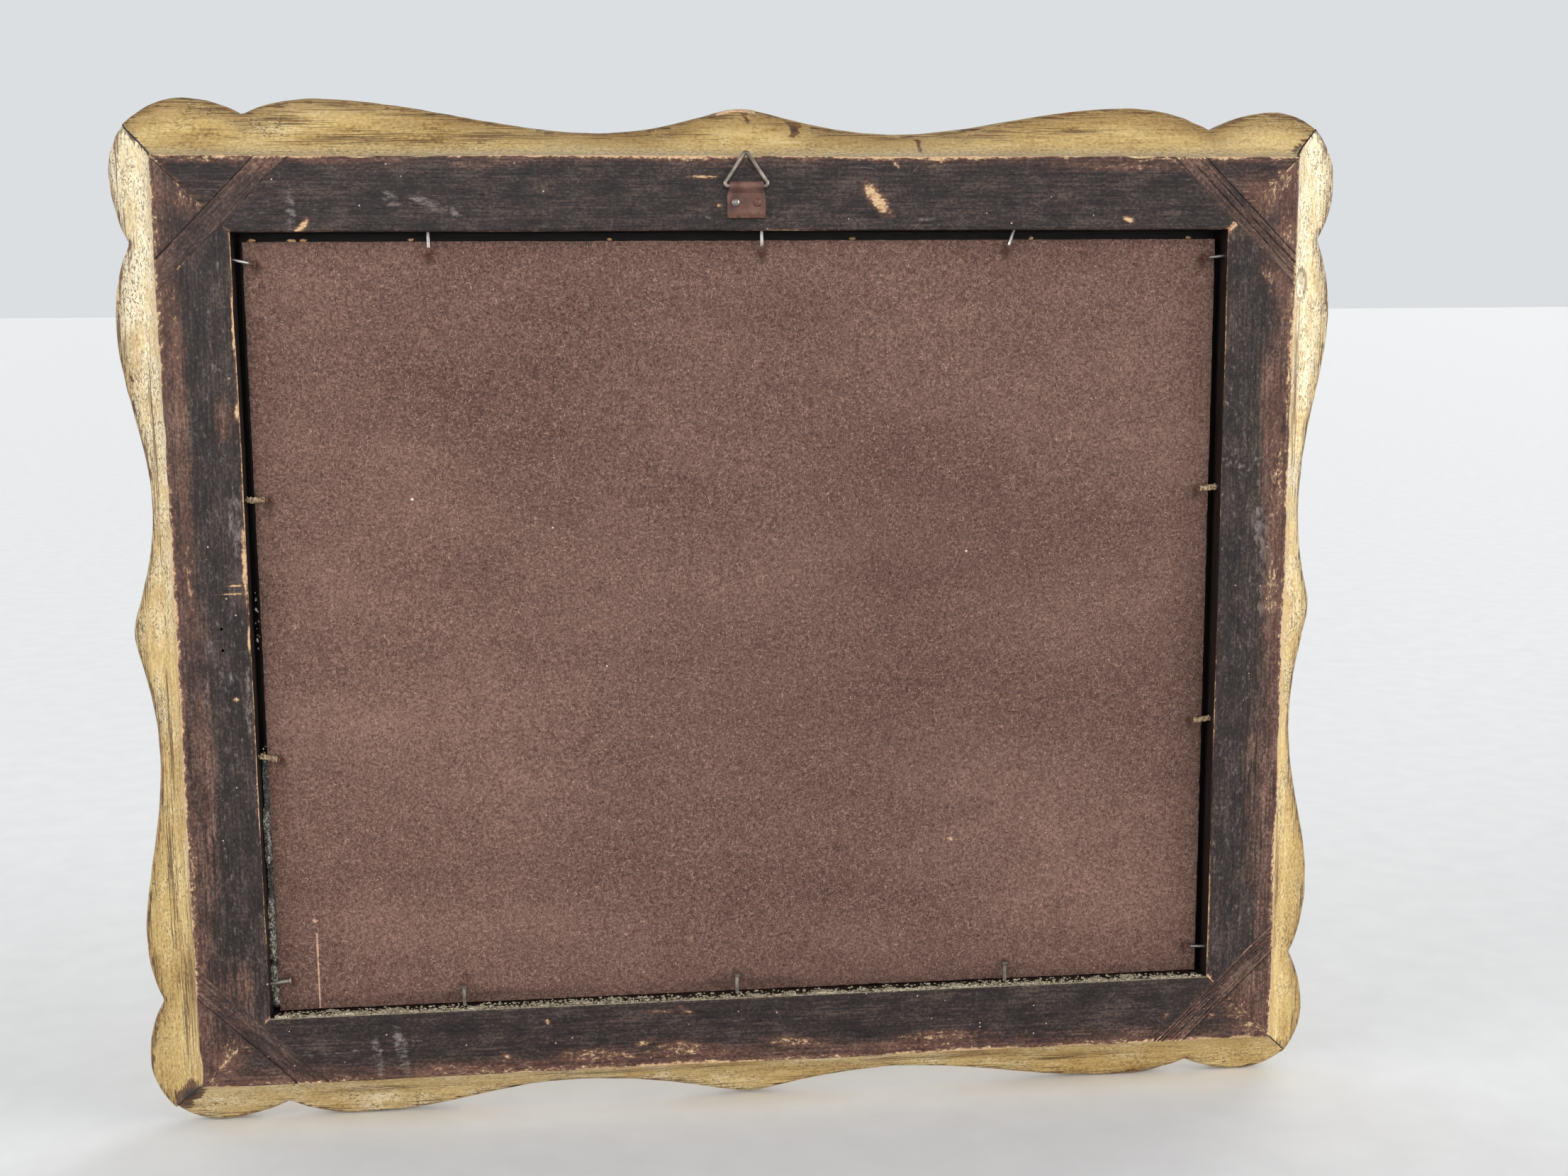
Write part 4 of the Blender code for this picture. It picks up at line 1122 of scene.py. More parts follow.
    def gilt_glaze_and_shade(self):
        """Brown glaze towards the edge, in part painted shade of the rounded edge, painted shade over the top
        rail, less of it on the bottom rail as painted light, and darker round a dent.
        """
        edge = self.out[:, self.runs["edge"]].max(1)[:, None]
        glaze_and_shade = np.where(self.across > 0, 1 - (edge - self.out) / (5 * MM), 0)
        # Painted shade: more brown over the top rail; painted light: less brown over the bottom rail.
        glaze_and_shade += {"top": 0.75, "bottom": -0.7}.get(self.side, 0)
        glaze_and_shade += 3.2 * np.maximum(0, ease(self.hollow, -0.5, 0) - 2 * self.dent)
        front = slice(self.runs["sweep"].start, None)
        glaze_and_shade[:, front] = np.minimum(glaze_and_shade[:, front], 0.2)
        return glaze_and_shade

    def painted_sheen(self):
        """Paler gilding towards one end of the bottom rail, up the stiles, and in a dent: painted reflection
        of window light, and a painted highlight in the dent.
        """
        rails = {"top": -1, "bottom": 0.22 + 0.2 * self.x / self.half}
        return np.where(self.at_back, rails.get(self.side, 0.34 + 0.5 * self.z / self.half) + self.dent, -1)

    def settled_dust(self):
        """Dust in the cove, most of it on the top rail, and on the bottom rail's rebate wall."""
        dust = np.where(self.past > 0, 1.1 - self.past / (9 * MM), 0) * (1.0 if self.side == "top" else 0.3)
        dust[:, self.runs["rim"].start:] = 0
        dust[:, :self.runs["arris"].stop] = -1
        if self.side == "bottom":
            wall = slice(self.runs["wall"].start, self.runs["inner"].stop)
            dust[:, wall] = 0.7 - self.depth[:, wall] / (3 * MM)
        return dust

    def wear(self):
        """Every attribute of the moulding's points that its materials read."""
        front = np.zeros_like(self.out)
        front[:, self.runs["roll"].start:] = 1
        joint = self.joint + 0.8 * MM * ease(-self.out, -10 * MM, -6 * MM)
        return {
            "along": self.along, "across": self.across, "bare": self.bare_wood(), "red": self.red_stain(),
            "scuff": self.scuffs(), "worn": self.gilt_wear(), "dust": self.settled_dust(), "joint": joint,
            "streak": self.gilt_streaks(), "glaze_and_shade": self.gilt_glaze_and_shade(), "front": front,
            "pale": self.painted_sheen(),
        }


def fan_carving(along, out, half):
    """Depth from nought to one of flutes that spread over each peak and lobe of the front."""
    cut = np.zeros_like(along)
    lobe = half - LOBE_FROM_CORNER
    for middle, spread in ((0, 0.95), (lobe, 0.8), (-lobe, 0.8), (half, 1.2), (-half, 1.2)):
        angle = np.arctan2(along - middle, out - FAN_FROM_REBATE)
        within = ease(spread - np.abs(angle), 0, 0.15)
        cut = np.maximum(cut, within * (0.5 - 0.5 * np.cos(angle * FAN_FLUTES)))
    return cut


def moulding_mesh(name, side, turn, length, height, materials):
    """One moulding, carved and worn, cut to a mitre at both ends, then turned into place."""
    moulding = Moulding(name, side, turn, length, height)
    mesh = moulding.mesh()
    add_attributes(mesh, **moulding.wear())
    for material in materials:
        mesh.materials.append(material)
    gilt = np.arange(len(mesh.polygons)) % moulding.total >= moulding.runs["arris"].start + 4
    gilt[-2:] = False
    mesh.polygons.foreach_set("material_index", gilt.astype(np.int32))
    cut_mitres(mesh, length, height)
    mesh = cut_slots(mesh, side, length, height)
    grain = [item.value + turn * GRAIN_SHIFT for item in mesh.attributes["along"].data]
    mesh.attributes["along"].data.foreach_set("value", grain)
    mesh.transform(moulding_place(turn))
    settle(mesh, materials)
    mesh.name = name
    return mesh


def cut_mitres(mesh, length, height):
    """Cuts both ends of a moulding to a mitre, with a fine groove along the joint at the back."""
    shape = bmesh.new()
    shape.from_mesh(mesh)
    face_outwards(shape)
    for side in (-1, 1):
        away = Vector((side, 0, -1)).normalized()
        corner = Vector((side * length / 2, 0, height / 2))
        for inset, clear in ((MITRE_GROOVE + MITRE_GAP, False), (MITRE_GAP, True)):
            everything = shape.verts[:] + shape.edges[:] + shape.faces[:]
            parts = bmesh.ops.bisect_plane(
                shape, geom=everything, plane_co=corner - away * inset, plane_no=away, clear_outer=clear
            )
        rim = [part for part in parts["geom_cut"] if isinstance(part, bmesh.types.BMEdge)]
        shape.normal_update()
        moves = []
        for vert in {vert for edge in rim for vert in edge.verts}:
            inwards = -vert.normal - away * -vert.normal.dot(away)
            if vert.co.y > BACK_Y - SEAT + FIT and vert.co.z > height / 2 + BACK_FLAT / 2:
                moves.append((vert, inwards.normalized() * MITRE_GROOVE))
        for vert, move in moves:
            vert.co += move
        bmesh.ops.edgeloop_fill(shape, edges=rim)
    shape.to_mesh(mesh)
    shape.free()


def key_outline(near, far, inset):
    """Strip across a corner at the origin, as (x, z) points, that ends inset from both edges."""
    return [(-inset, inset - near), (inset - near, -inset), (inset - far, -inset), (-inset, inset - far)]


def cut_slots(mesh, side, length, height):
    """The mesh with the slots for two corner keys, and the worm holes of one stile, cut into its back."""
    shape = bmesh.new()
    slack = KEY_SLACK * math.sqrt(2)
    strip = key_outline(KEY_NEAR - slack, KEY_FAR + slack / 4, SLOT_INSET)
    corner_x, corner_z = length / 2 + BACK_FLAT, height / 2 + BACK_FLAT
    for end in (-1, 1):
        outline = [(end * (corner_x + x), corner_z + z) for x, z in strip]
        prism(outline, BACK_Y - KEY_DEPTH - FIT, BACK_Y + 2 * CUTTER_OVERRUN, shape)
    if side == "right":
        high = WORM_HOLE_DEPTH + CUTTER_OVERRUN
        for along in WORM_HOLES:
            spot = Matrix.Translation((along, BACK_Y - WORM_HOLE_DEPTH, height / 2 + WORM_HOLE_OUT))
            bore = [(0, 0), (WORM_HOLE_RADIUS, 0), (WORM_HOLE_RADIUS, high), (0, high)]
            turned(bore, 12, shape, spot @ rotation(-90, "X"))
    face_outwards(shape)
    mesh = difference(mesh, mesh_of_shape("cutter", shape))
    inside = {"bare": -1, "red": 0.2, "scuff": -0.9, "joint": 0.01, "streak": -1, "dust": -1}
    layers = mesh.attributes
    for k, vert in enumerate(mesh.vertices):
        if abs(layers["along"].data[k].value - vert.co.x) > 0.3 * MM:
            layers["along"].data[k].value = vert.co.x
            layers["across"].data[k].value = vert.co.z - height / 2
            for key, value in inside.items():
                layers[key].data[k].value = value
    return mesh


def build_mouldings(wood, gilt):
    for name, side, turn, length, height in MOULDINGS:
        mesh = moulding_mesh(name + "_mesh", side, turn, length, height, (wood, gilt))
        show(name + "_carved", mesh, (name,))


def key_mesh(name, seed, grooves, wood):
    """Strip across a corner at the origin, worn at its edges and grooved along some shares of its width."""
    share_across = np.linspace(0, 1, 29)[:, None]
    share_along = np.linspace(0, 1, 73)[None, :]
    reach = KEY_NEAR + share_across * (KEY_FAR - KEY_NEAR) + 0 * share_along
    local_x = -KEY_INSET - share_along * (reach - 2 * KEY_INSET)
    local_z = -KEY_INSET - (1 - share_along) * (reach - 2 * KEY_INSET)
    along = (share_along - 0.5) * reach * math.sqrt(2)
    width = (KEY_FAR - KEY_NEAR) / math.sqrt(2)
    across = share_across * width + 0 * along
    edges = np.minimum(share_across, 1 - share_across) * width
    level = -KEY_SUNK + 0.05 * MM * wobble(along, across, 30 * MM, 9 * MM, 40 + seed)
    joint = np.where(share_across < 0.5, edges - 0.12 * MM, edges + 0.04 * MM) + 0 * along
    for groove in grooves:
        drift = groove + 0.02 * wobble(share_along + 0 * share_across, 0 * along, 1, 1, 60 + int(groove * 50))
        level = level - KEY_GROOVE * np.exp(-((share_across - drift) / 0.03) ** 2)
        joint = np.minimum(joint, np.abs(share_across - drift) * width - 0.04 * MM)
    level = level - 0.12 * MM * ease(-edges, -0.5 * MM, 0)
    ends = np.minimum(share_along, 1 - share_along) * reach * math.sqrt(2)
    chips = wobble(along, across, 16 * MM, 30 * MM, 80 + seed)
    bare = np.maximum(0.6 - ends / (1.4 * MM), 0.9 * chips - 0.6 - edges / (0.7 * MM))
    red = np.maximum(0.7 - ends / (24 * MM), 0.4 if grooves else 0.3)
    plain = np.ones_like(along)
    return slab(
        name, np.stack([local_x, level, local_z], -1), -KEY_DEPTH, (wood,),
        along=along + KEY_GRAIN + seed, across=across + KEY_GRAIN_ACROSS, bare=bare, red=red,
        scuff=-0.5 * plain, joint=joint, streak=-0.2 * plain if grooves else -plain, dust=-plain,
    )


def build_keys(wood):
    across = REBATE_WIDTH / 2 + BACK_FLAT
    up = REBATE_HEIGHT / 2 + BACK_FLAT
    corners = (
        ("corner_key_top_right", 0, across, up, ()),
        ("corner_key_bottom_right", 90, across, -up, ()),
        ("corner_key_bottom_left", 180, -across, -up, MANY_GROOVES),
        ("corner_key_top_left", 270, -across, up, TWO_GROOVES),
    )
    for seed, (node, turn, x, z, grooves) in enumerate(corners):
        mesh = key_mesh(node + "_mesh", seed, grooves, wood)
        mesh.transform(Matrix.Translation((x, BACK_Y, CENTRE_Z + z)) @ rotation(turn, "Y"))
        show(node + "_worn", mesh, (node,))


def sheet_spans():
    """Half width and lower and upper edge of the board and of the panel, from the middle of the rebate."""
    return REBATE_WIDTH / 2 - SIDE_PLAY, FIT - REBATE_HEIGHT / 2, REBATE_HEIGHT / 2 - TOP_PLAY


def board_marks(x, z):
    """Warm, dark, rusty and bare places of the board, with dark and rusty ones under each brad's head; the
    dark ones are painted shadow with stain.
    """
    dark = marks_field(x, z, BOARD_SMUDGES)
    dark = np.maximum(dark, 0.4 * marks_field(x, z, BOARD_SHADES))
    dark = np.maximum(dark, 0.5 * marks_field(x, z, BOARD_BANDS))
    rust = np.full_like(dark, -1)
    for _, side, turn, length, height in MOULDINGS:
        for spot in brad_places(side, length, height):
            head = rotation(turn, "Y") @ spot @ Vector((0, 0, -BRAD_REACH))
            across, up = head.x / MM, head.z / MM
            # Painted shadow with stain, just below the brad's head.
            dark = np.maximum(dark, 1.8 * marks_field(x, z, ((across, up - 1.2, 2.2, 3.2, 0),)))
            rust = np.maximum(rust, marks_field(x, z, ((across, up - 0.2, 1.9, 1.5, 0),)))
    bare = np.maximum(1.5 * marks_field(x, z, BOARD_DROPS), -1.2)
    return {"warm": marks_field(x, z, BOARD_WARM), "dark": dark, "rust": rust, "bare": bare}


def build_board(material):
    half, low, high = sheet_spans()
    x, z = np.meshgrid(np.linspace(-half, half, 203), np.linspace(low, high, 165), indexing="ij")
    near_edge = np.minimum(np.minimum(half - np.abs(x), z - low), high - z)
    edge = ease(-near_edge, -1.2 * MM, 0)
    fray = 0.1 * MM * wobble(x, z, 4 * MM, 4 * MM, 71) + 0.1 * MM * wobble(x, z, 22 * MM, 22 * MM, 72)
    fray = edge * np.abs(fray)
    place_x = x - np.sign(x) * fray * (half - np.abs(x) < 1 * MM)
    place_z = np.where(z > high - 1 * MM, z - fray, z + fray * (z < low + 1 * MM))
    y = BACK_Y - BOARD_RECESS + 0.07 * MM * wobble(x, z, 90 * MM, 90 * MM, 73) - 0.35 * MM * edge ** 2
    y = y + 0.03 * MM * wobble(x, z, 7 * MM, 7 * MM, 74)
    top = np.stack([place_x, y, place_z + CENTRE_Z], -1)
    mesh = slab("backing_board_mesh", top, BACK_Y - BOARD_FRONT, (material,), **board_marks(x, z))
    show("backing_board_worn", mesh, ("backing_board",))


def brad_places(side, length, height):
    """Where each brad leaves the rebate wall, with its direction, in the moulding's own frame."""
    strays = BRAD_STRAYS[side]
    inset = RAIL_BRAD_FROM_CORNER if side in ("top", "bottom") else STILE_BRAD_FROM_CORNER
    end = length / 2 - inset
    depth = BOARD_RECESS - FIT - BRAD_HEAD_RADIUS
    places = []
    for k, (stray, lean) in enumerate(strays):
        along = -end + 2 * end * k / (len(strays) - 1) + stray * MM
        places.append(Matrix.Translation((along, BACK_Y - depth, height / 2)) @ rotation(lean, "Y"))
    return places


def add_crust(shape, draw):
    """Lumpy crust round a brad's shank, in the brad's second material."""
    before = len(shape.verts)
    rings = [(0, CRUST_START)]
    rings += [(CRUST_RADIUS, CRUST_START + CRUST_CAP + k * CRUST_RING_STEP) for k in range(12)]
    turned(rings + [(0, CRUST_END)], 16, shape)
    shape.verts.ensure_lookup_table()
    for vert in shape.verts[before:]:
        swell = draw.uniform(0.7, 1.4)
        vert.co.x *= swell
        vert.co.y *= swell
    shape.verts.index_update()
    for face in shape.faces:
        if min(vert.index for vert in face.verts) >= before:
            face.material_index = 1


def brad_mesh(name, seed, materials, crusted, rust):
    """Brad along z with a domed head and a slightly bent shank, crusted or plain."""
    head = -BRAD_REACH
    profile = [(0, head)] + [(share * BRAD_HEAD_RADIUS, head + rise * MM) for share, rise in BRAD_DOME]
    for k in range(12):
        profile.append((BRAD_RADIUS * (1 - BRAD_TAPER * k), head + BRAD_NECK + k * BRAD_RING_STEP))
    profile += [(BRAD_TIP_RADIUS, BRAD_TIP_START), (0, BRAD_GRIP)]
    shape = turned(profile, 18)
    face_outwards(shape)
    draw = np.random.default_rng(500 + seed)
    if crusted:
        add_crust(shape, draw)
    bend = draw.uniform(-0.004, 0.004)
    mesh = mesh_of_shape(name, shape)
    heights = np.array([vert.co.z for vert in mesh.vertices])
    for vert, level in zip(mesh.vertices, heights):
        vert.co.x += bend * level * level / (10 * MM)
    add_attributes(mesh, worn=ease(-heights, 3.2 * MM, 5.6 * MM) * rust - 0.2)
    settle(mesh, materials, 50)
    return mesh


def build_brads(shiny, dull, crust):
    for _, side, turn, length, height in MOULDINGS:
        for k, spot in enumerate(brad_places(side, length, height)):
            node = f"brad_{side}_{k + 1}"
            steel = shiny if node in SHINY_BRADS else dull
            crusted = node in CRUSTED_BRADS
            materials = (steel, crust) if crusted else (steel,)
            rust = 1.2 if crusted or steel == shiny else 0.3
            mesh = brad_mesh(node + "_mesh", 10 * turn + k, materials, crusted, rust)
            mesh.transform(moulding_place(turn) @ spot)
            show(node + "_wire", mesh, (node,))


def bar_matrix():
    """From the hanger's bar at the origin to its place."""
    level = CENTRE_Z + REBATE_HEIGHT / 2 + RING_AXIS_FROM_REBATE
    return Matrix.Translation((HANGER_SHIFT, BACK_Y + RING_AXIS_PROUD, level))


def heading_at(path, before, after):
    """Direction of a path from one of its points to another."""
    return math.atan2(path[after][1] - path[before][1], path[after][0] - path[before][0])


def strap_path():
    """Middle line of the folded strap as (height above the back, distance up from the bar) points."""
    loop = BAR_HOLE + STRAP_THICKNESS / 2
    back = FIT + STRAP_THICKNESS / 2
    front = STRAP_FRONT - STRAP_THICKNESS / 2
    rows = [-STRAP_DROP + k * STRAP_ROW for k in range(6)]
    path = [(back, level) for level in (*rows, -STRAP_SHOULDER, -STRAP_NECK, 0)]
    steps = 22
    for k in range(1, steps + 1):
        angle = math.radians((180 + STRAP_NECK_TURN) * k / steps)
        path.append((RING_AXIS_PROUD - loop * math.cos(angle), loop * math.sin(angle)))
    height, level = path[-1]
    path.append((front, level - (height - front)))
    return path + [(front, level) for level in (STRAP_STEP - STRAP_SHOULDER, -STRAP_SHOULDER, *rows[::-1])]


def strap_loop(path, k, half):
    """Points round the strap at one point of its path."""
    height, level = path[k]
    heading = heading_at(path, max(k - 1, 0), min(k + 1, len(path) - 1))
    side_y, side_z = -math.sin(heading) * STRAP_THICKNESS / 2, math.cos(heading) * STRAP_THICKNESS / 2
    columns = np.linspace(-half, half, 11)
    near = [(x, height + side_y - RING_AXIS_PROUD, level + side_z) for x in columns]
    far = [(x, height - side_y - RING_AXIS_PROUD, level - side_z) for x in columns[::-1]]
    return near + far


def build_strap(material):
    path = strap_path()
    leg = math.hypot(RING_BASE / 2, RING_HEIGHT)
    loop_end = ((BAR_HOLE + STRAP_THICKNESS) * RING_BASE / 2 + (WIRE_RADIUS + LOOP_GAP) * leg) / RING_HEIGHT
    loop_width = RING_BASE - 2 * loop_end
    shape = bmesh.new()
    loops = []
    for k, (_, level) in enumerate(path):
        half = (STRAP_WIDTH if level <= -STRAP_SHOULDER else loop_width) / 2
        loops.append([shape.verts.new(point) for point in strap_loop(path, k, half)])
    for lower, upper in zip(loops, loops[1:]):
        for k in range(len(lower)):
            after = (k + 1) % len(lower)
            shape.faces.new((lower[k], lower[after], upper[after], upper[k]))
    shape.faces.new(loops[0])
    shape.faces.new(loops[-1])
    face_outwards(shape)
    sharp = [edge for edge in shape.edges if edge.calc_face_angle(0) > math.radians(50)]
    bmesh.ops.bevel(shape, geom=sharp, offset=STRAP_BEVEL, segments=2, profile=0.5, affect="EDGES")
    mesh = mesh_of_shape("hanger_strap_mesh", shape)
    level = np.array([vert.co.z for vert in mesh.vertices])
    add_attributes(mesh, worn=0.3 + 0.5 * ease(-level, 7 * MM, STRAP_DROP))
    mesh.transform(bar_matrix())
    settle(mesh, (material,), 40)
    show("hanger_strap_folded", mesh, ("hanger_strap",))


def ring_path():
    """Middle line of the triangular ring, its bar along x through the origin and its tip up."""
    corners = [(-RING_BASE / 2, 0), (RING_BASE / 2, 0), (0, RING_HEIGHT)]
    points = []
    for k, corner in enumerate(corners):
        after = corners[(k + 1) % 3]
        into, away = heading_at(corners, k - 1, k), heading_at(corners, k, (k + 1) % 3)
        bend = math.remainder(away - into, 2 * math.pi)
        setback = RING_CORNER * math.tan(bend / 2)
        start = (corner[0] - setback * math.cos(into), corner[1] - setback * math.sin(into))
        middle = (start[0] - RING_CORNER * math.sin(into), start[1] + RING_CORNER * math.cos(into))
        for step in range(9):
            angle = into + step / 8 * bend
            across, up = RING_CORNER * math.sin(angle), RING_CORNER * math.cos(angle)
            points.append((middle[0] + across, middle[1] - up))
        end = points[-1]
        goal = (after[0] - setback * math.cos(away), after[1] - setback * math.sin(away))
        for step in range(1, 6):
            share = step / 6
            points.append((end[0] + (goal[0] - end[0]) * share, end[1] + (goal[1] - end[1]) * share))
    return points


def build_ring(material):
    path = ring_path()
    points = []
    for k, (x, z) in enumerate(path):
        heading = heading_at(path, k - 1, (k + 1) % len(path))
        for step in range(WIRE_SIDES):
            angle = 2 * math.pi * step / WIRE_SIDES
            aside = WIRE_RADIUS * math.cos(angle)
            up = z + math.cos(heading) * aside
            points.append((x - math.sin(heading) * aside, WIRE_RADIUS * math.sin(angle), up))
    faces = grid_faces(len(path), WIRE_SIDES, closed=True, looped=True)
    mesh = mesh_of_points("hanger_ring_mesh", points, faces)
    add_attributes(mesh, worn=[0.25 - 0.9 * abs(up / RING_HEIGHT - 0.1) for _, _, up in points])
    lean = math.asin((RING_AXIS_PROUD - WIRE_RADIUS - FIT) / RING_HEIGHT)
    mesh.transform(bar_matrix() @ Matrix.Rotation(lean, 4, "X"))
    settle(mesh, (material,), 60)
    show("hanger_ring_wire", mesh, ("hanger_ring",), "ring")


def build_pins(material):
    """Two pins with domed heads, one of them rusty."""
    level = CENTRE_Z + REBATE_HEIGHT / 2 + RING_AXIS_FROM_REBATE - PIN_DROP
    under = STRAP_FRONT + LAYER_GAP
    profile = [(0, -PIN_LENGTH), (PIN_RADIUS, PIN_POINT - PIN_LENGTH)]
    profile += [(PIN_RADIUS, under), (PIN_UNDERSIDE, under)]
    for angle in np.linspace(0.12, 1.45, 8):
        profile.append((PIN_HEAD_RADIUS * math.cos(angle), under + PIN_HEAD * math.sin(angle)))
    profile.append((0, under + PIN_HEAD))
    for k, side in enumerate((-1, 1)):
        node = f"hanger_pin_{k + 1}"
        mesh = mesh_of_shape(node + "_mesh", turned(profile, 24))
        radius = np.array([math.hypot(vert.co.x, vert.co.y) for vert in mesh.vertices])
        add_attributes(mesh, worn=ease(radius, 0.5 * MM, PIN_HEAD_RADIUS) * 0.9 - 0.2 + 1.1 * (side < 0))
        spot = Matrix.Translation((HANGER_SHIFT + side * PIN_SPREAD / 2, BACK_Y, level))
        mesh.transform(spot @ rotation(-90, "X"))
        settle(mesh, (material,), 50)
        show(node + "_domed", mesh, (node,))


def crumbs(name, places, material, seed):
    """Many small irregular lumps as one mesh: each has a middle and three half sizes."""
    draw = np.random.default_rng(seed)
    shape = bmesh.new()
    for middle, sizes in places:
        turn = Matrix.Rotation(draw.uniform(0, 6.3), 4, draw.normal(size=3))
        made = bmesh.ops.create_icosphere(shape, subdivisions=1, radius=1, matrix=Matrix.Identity(4))["verts"]
        lumps = draw.normal(size=(5, 3))
        for vert in made:
            swells = [math.sin(2.6 * vert.co.dot(Vector(lump)) + lump[0] * 9) for lump in lumps]
            vert.co *= 1 + 0.3 * sum(swells) / 2.2
        place = Matrix.Translation(middle) @ Matrix.Diagonal((*sizes, 1)) @ turn
        bmesh.ops.transform(shape, matrix=place, verts=made)
    mesh = mesh_of_shape(name + "_mesh", shape)
    settle(mesh, (material,), 60)
    show(name, mesh)


def build_bed(material):
    """Uneven bed of dust on the rebate's lower ledge, made lying on its side and turned up."""
    along, away = np.linspace(-BED_HALF, BED_HALF, 700), np.linspace(BED_NEAR, BED_FAR, 14)
    x, away = np.meshgrid(along, away, indexing="ij")
    level = 0.1
    for gain, period, seed in ((0.26, 9, 31), (0.17, 2.4, 32), (0.12, 1.2, 33)):
        level = level + gain * wobble(x, away, period * MM, period * MM, seed)
    shore = away - 1 * MM * wobble(x, 0 * x, 14 * MM, 1, 34)
    level = np.clip(level - 0.5 * ease(shore, 2 * MM, 4 * MM), -0.2, 0.9) * MM
    mesh = slab("rebate_bed_mesh", np.stack([x, level, away], -1), -BED_UNDER, (material,), 60)
    mesh.transform(Matrix.Translation((0, BACK_Y, CENTRE_Z - REBATE_HEIGHT / 2)) @ rotation(90, "X"))
    show("rebate_bed", mesh)


def ledge_crumbs(draw):
    """Crumbs on the bed of dust, fewer towards its middle."""
    places = []
    for _ in range(LEDGE_TRIES):
        x = draw.uniform(-LEDGE_HALF, LEDGE_HALF)
        weight = 0.95 if x > 25 * MM else 0.6 if x > -70 * MM else 0.85
        if draw.uniform() > weight:
            continue
        size = draw.uniform(0.12, 0.42) * MM
        flat = size * draw.uniform(0.5, 1.0)
        away = (0.5 + 4.2 * draw.uniform() ** 2) * MM
        level = CENTRE_Z - REBATE_HEIGHT / 2 + 0.2 * MM + 0.5 * flat
        places.append(((x, BACK_Y - away, level), (size * draw.uniform(0.8, 2.0), size, flat)))
    return places


def lint_mesh(material):
    """Lint in the gap beside the board, higher along its thick stretches."""
    across, up = np.linspace(-LINT_HALF, LINT_HALF, 9), np.linspace(LINT_LOW, LINT_HIGH, 400)
    x, z = np.meshgrid(LINT_X + across, up, indexing="ij")
    thick = 0
    for low, high, _ in THICK_STRETCHES:
        above = ease(z, (low - 2) * MM, (low + 1) * MM)
        below = ease(-z, (-2 - high) * MM, (1 - high) * MM)
        thick = np.maximum(thick, above * below)
    depth = 9 - 2.6 * thick - 0.5 * wobble(x, z, 2.2 * MM, 3 * MM, 35)
    depth = depth - 0.35 * wobble(x, z, 1.1 * MM, 1.1 * MM, 36)
    top = np.stack([x, BACK_Y - depth * MM, z + CENTRE_Z], -1)
    return slab("gap_lint_mesh", top, BACK_Y - LINT_UNDER, (material,))


def lint_lumps(draw):
    places = []
    for low, high, count in LINT_STRETCHES:
        for _ in range(count):
            size = draw.uniform(0.15, 0.5) * MM
            away = draw.uniform(5.2, 7.5) * MM
            x = LINT_X + draw.uniform(-0.5, 0.5) * MM
            z = CENTRE_Z + draw.uniform(low, high) * MM
            places.append(((x, BACK_Y - away, z), (size, size, size * 1.4)))
    return places


def build_dust(pale, fluff, tan):
    draw = np.random.default_rng(77)
    build_bed(pale)
    crumbs("rebate_dust", ledge_crumbs(draw), pale, 11)
    show("gap_lint", lint_mesh(fluff))
    crumbs("gap_fluff", lint_lumps(draw), fluff, 12)
    level = CENTRE_Z + REBATE_HEIGHT / 2 - TOP_PLAY + TOP_CHIP_RISE
    chips = [((x * MM, BACK_Y - TOP_CHIP_DEPTH, level), (size * MM, *TOP_CHIP_SIZE)) for x, size in TOP_CHIPS]
    crumbs("gap_chips", chips, tan, 13)


def build_beads(material):
    """Row of turned pearls along the sight edge."""
    shape = bmesh.new()
    arc = [(PEARL_RADIUS * math.sin(a), -PEARL_RADIUS * math.cos(a)) for a in np.linspace(0, math.pi, 9)]
    profile = [(0, -PEARL_RADIUS)] + arc[1:-1] + [(0, PEARL_RADIUS)]
    stretch = Matrix.Diagonal((PEARL_STRETCH, 1, 1, 1))
    for _, _, turn, length, height in MOULDINGS:
        reach = length / 2 - PEARL_LINE
        count = round(2 * reach / PEARL_PITCH)
        for k in range(count):
            x = -reach + 2 * reach * k / count
            spot = Matrix.Translation((x, BACK_Y - PEARL_FRONT, height / 2 - PEARL_LINE))
            turned(profile, 12, shape, moulding_place(turn) @ spot @ stretch)
    mesh = mesh_of_shape("sight_beads_mesh", shape)
    along = np.array([vert.co.x + vert.co.z for vert in mesh.vertices])
    depth = BACK_Y - np.array([vert.co.y for vert in mesh.vertices])
    worn = 0.45 - (depth - CHANNEL_FRONT) / (3 * MM)
    even = {"bare": NO_WEAR, "dust": 0, "joint": 1, "streak": -1, "glaze_and_shade": 0, "front": 1, "pale": -1}
    add_attributes(mesh, along=along, across=depth, worn=worn)
    add_attributes(mesh, **{name: np.full(len(along), value) for name, value in even.items()})
    settle(mesh, (material,), 60)
    show("sight_beads", mesh)


def coin_cells():
    """Column, row, place and diameter of each coin, spread evenly over the sight."""
    span_x = REBATE_WIDTH - 2 * SIGHT_LIP - 2 * PANEL_MARGIN - COIN_DIAMETER
    span_z = REBATE_HEIGHT - 2 * SIGHT_LIP - 2 * PANEL_MARGIN - COIN_DIAMETER
    cells = []
    for row in range(COIN_ROWS):
        for column in range(COIN_COLUMNS):
            x = span_x * (column / (COIN_COLUMNS - 1) - 0.5)
            z = span_z * (0.5 - row / (COIN_ROWS - 1))
            diameter = COIN_DIAMETER - COIN_STEP * abs(column - (COIN_COLUMNS - 1) / 2)
            cells.append((column + 1, row + 1, x, z, diameter))
    return cells


def star(share, angle):
    points = 0.2 + 0.3 * np.abs(np.cos(4 * angle)) ** 2.5
    return np.clip(1 - share / points, 0, 1) * 0.9


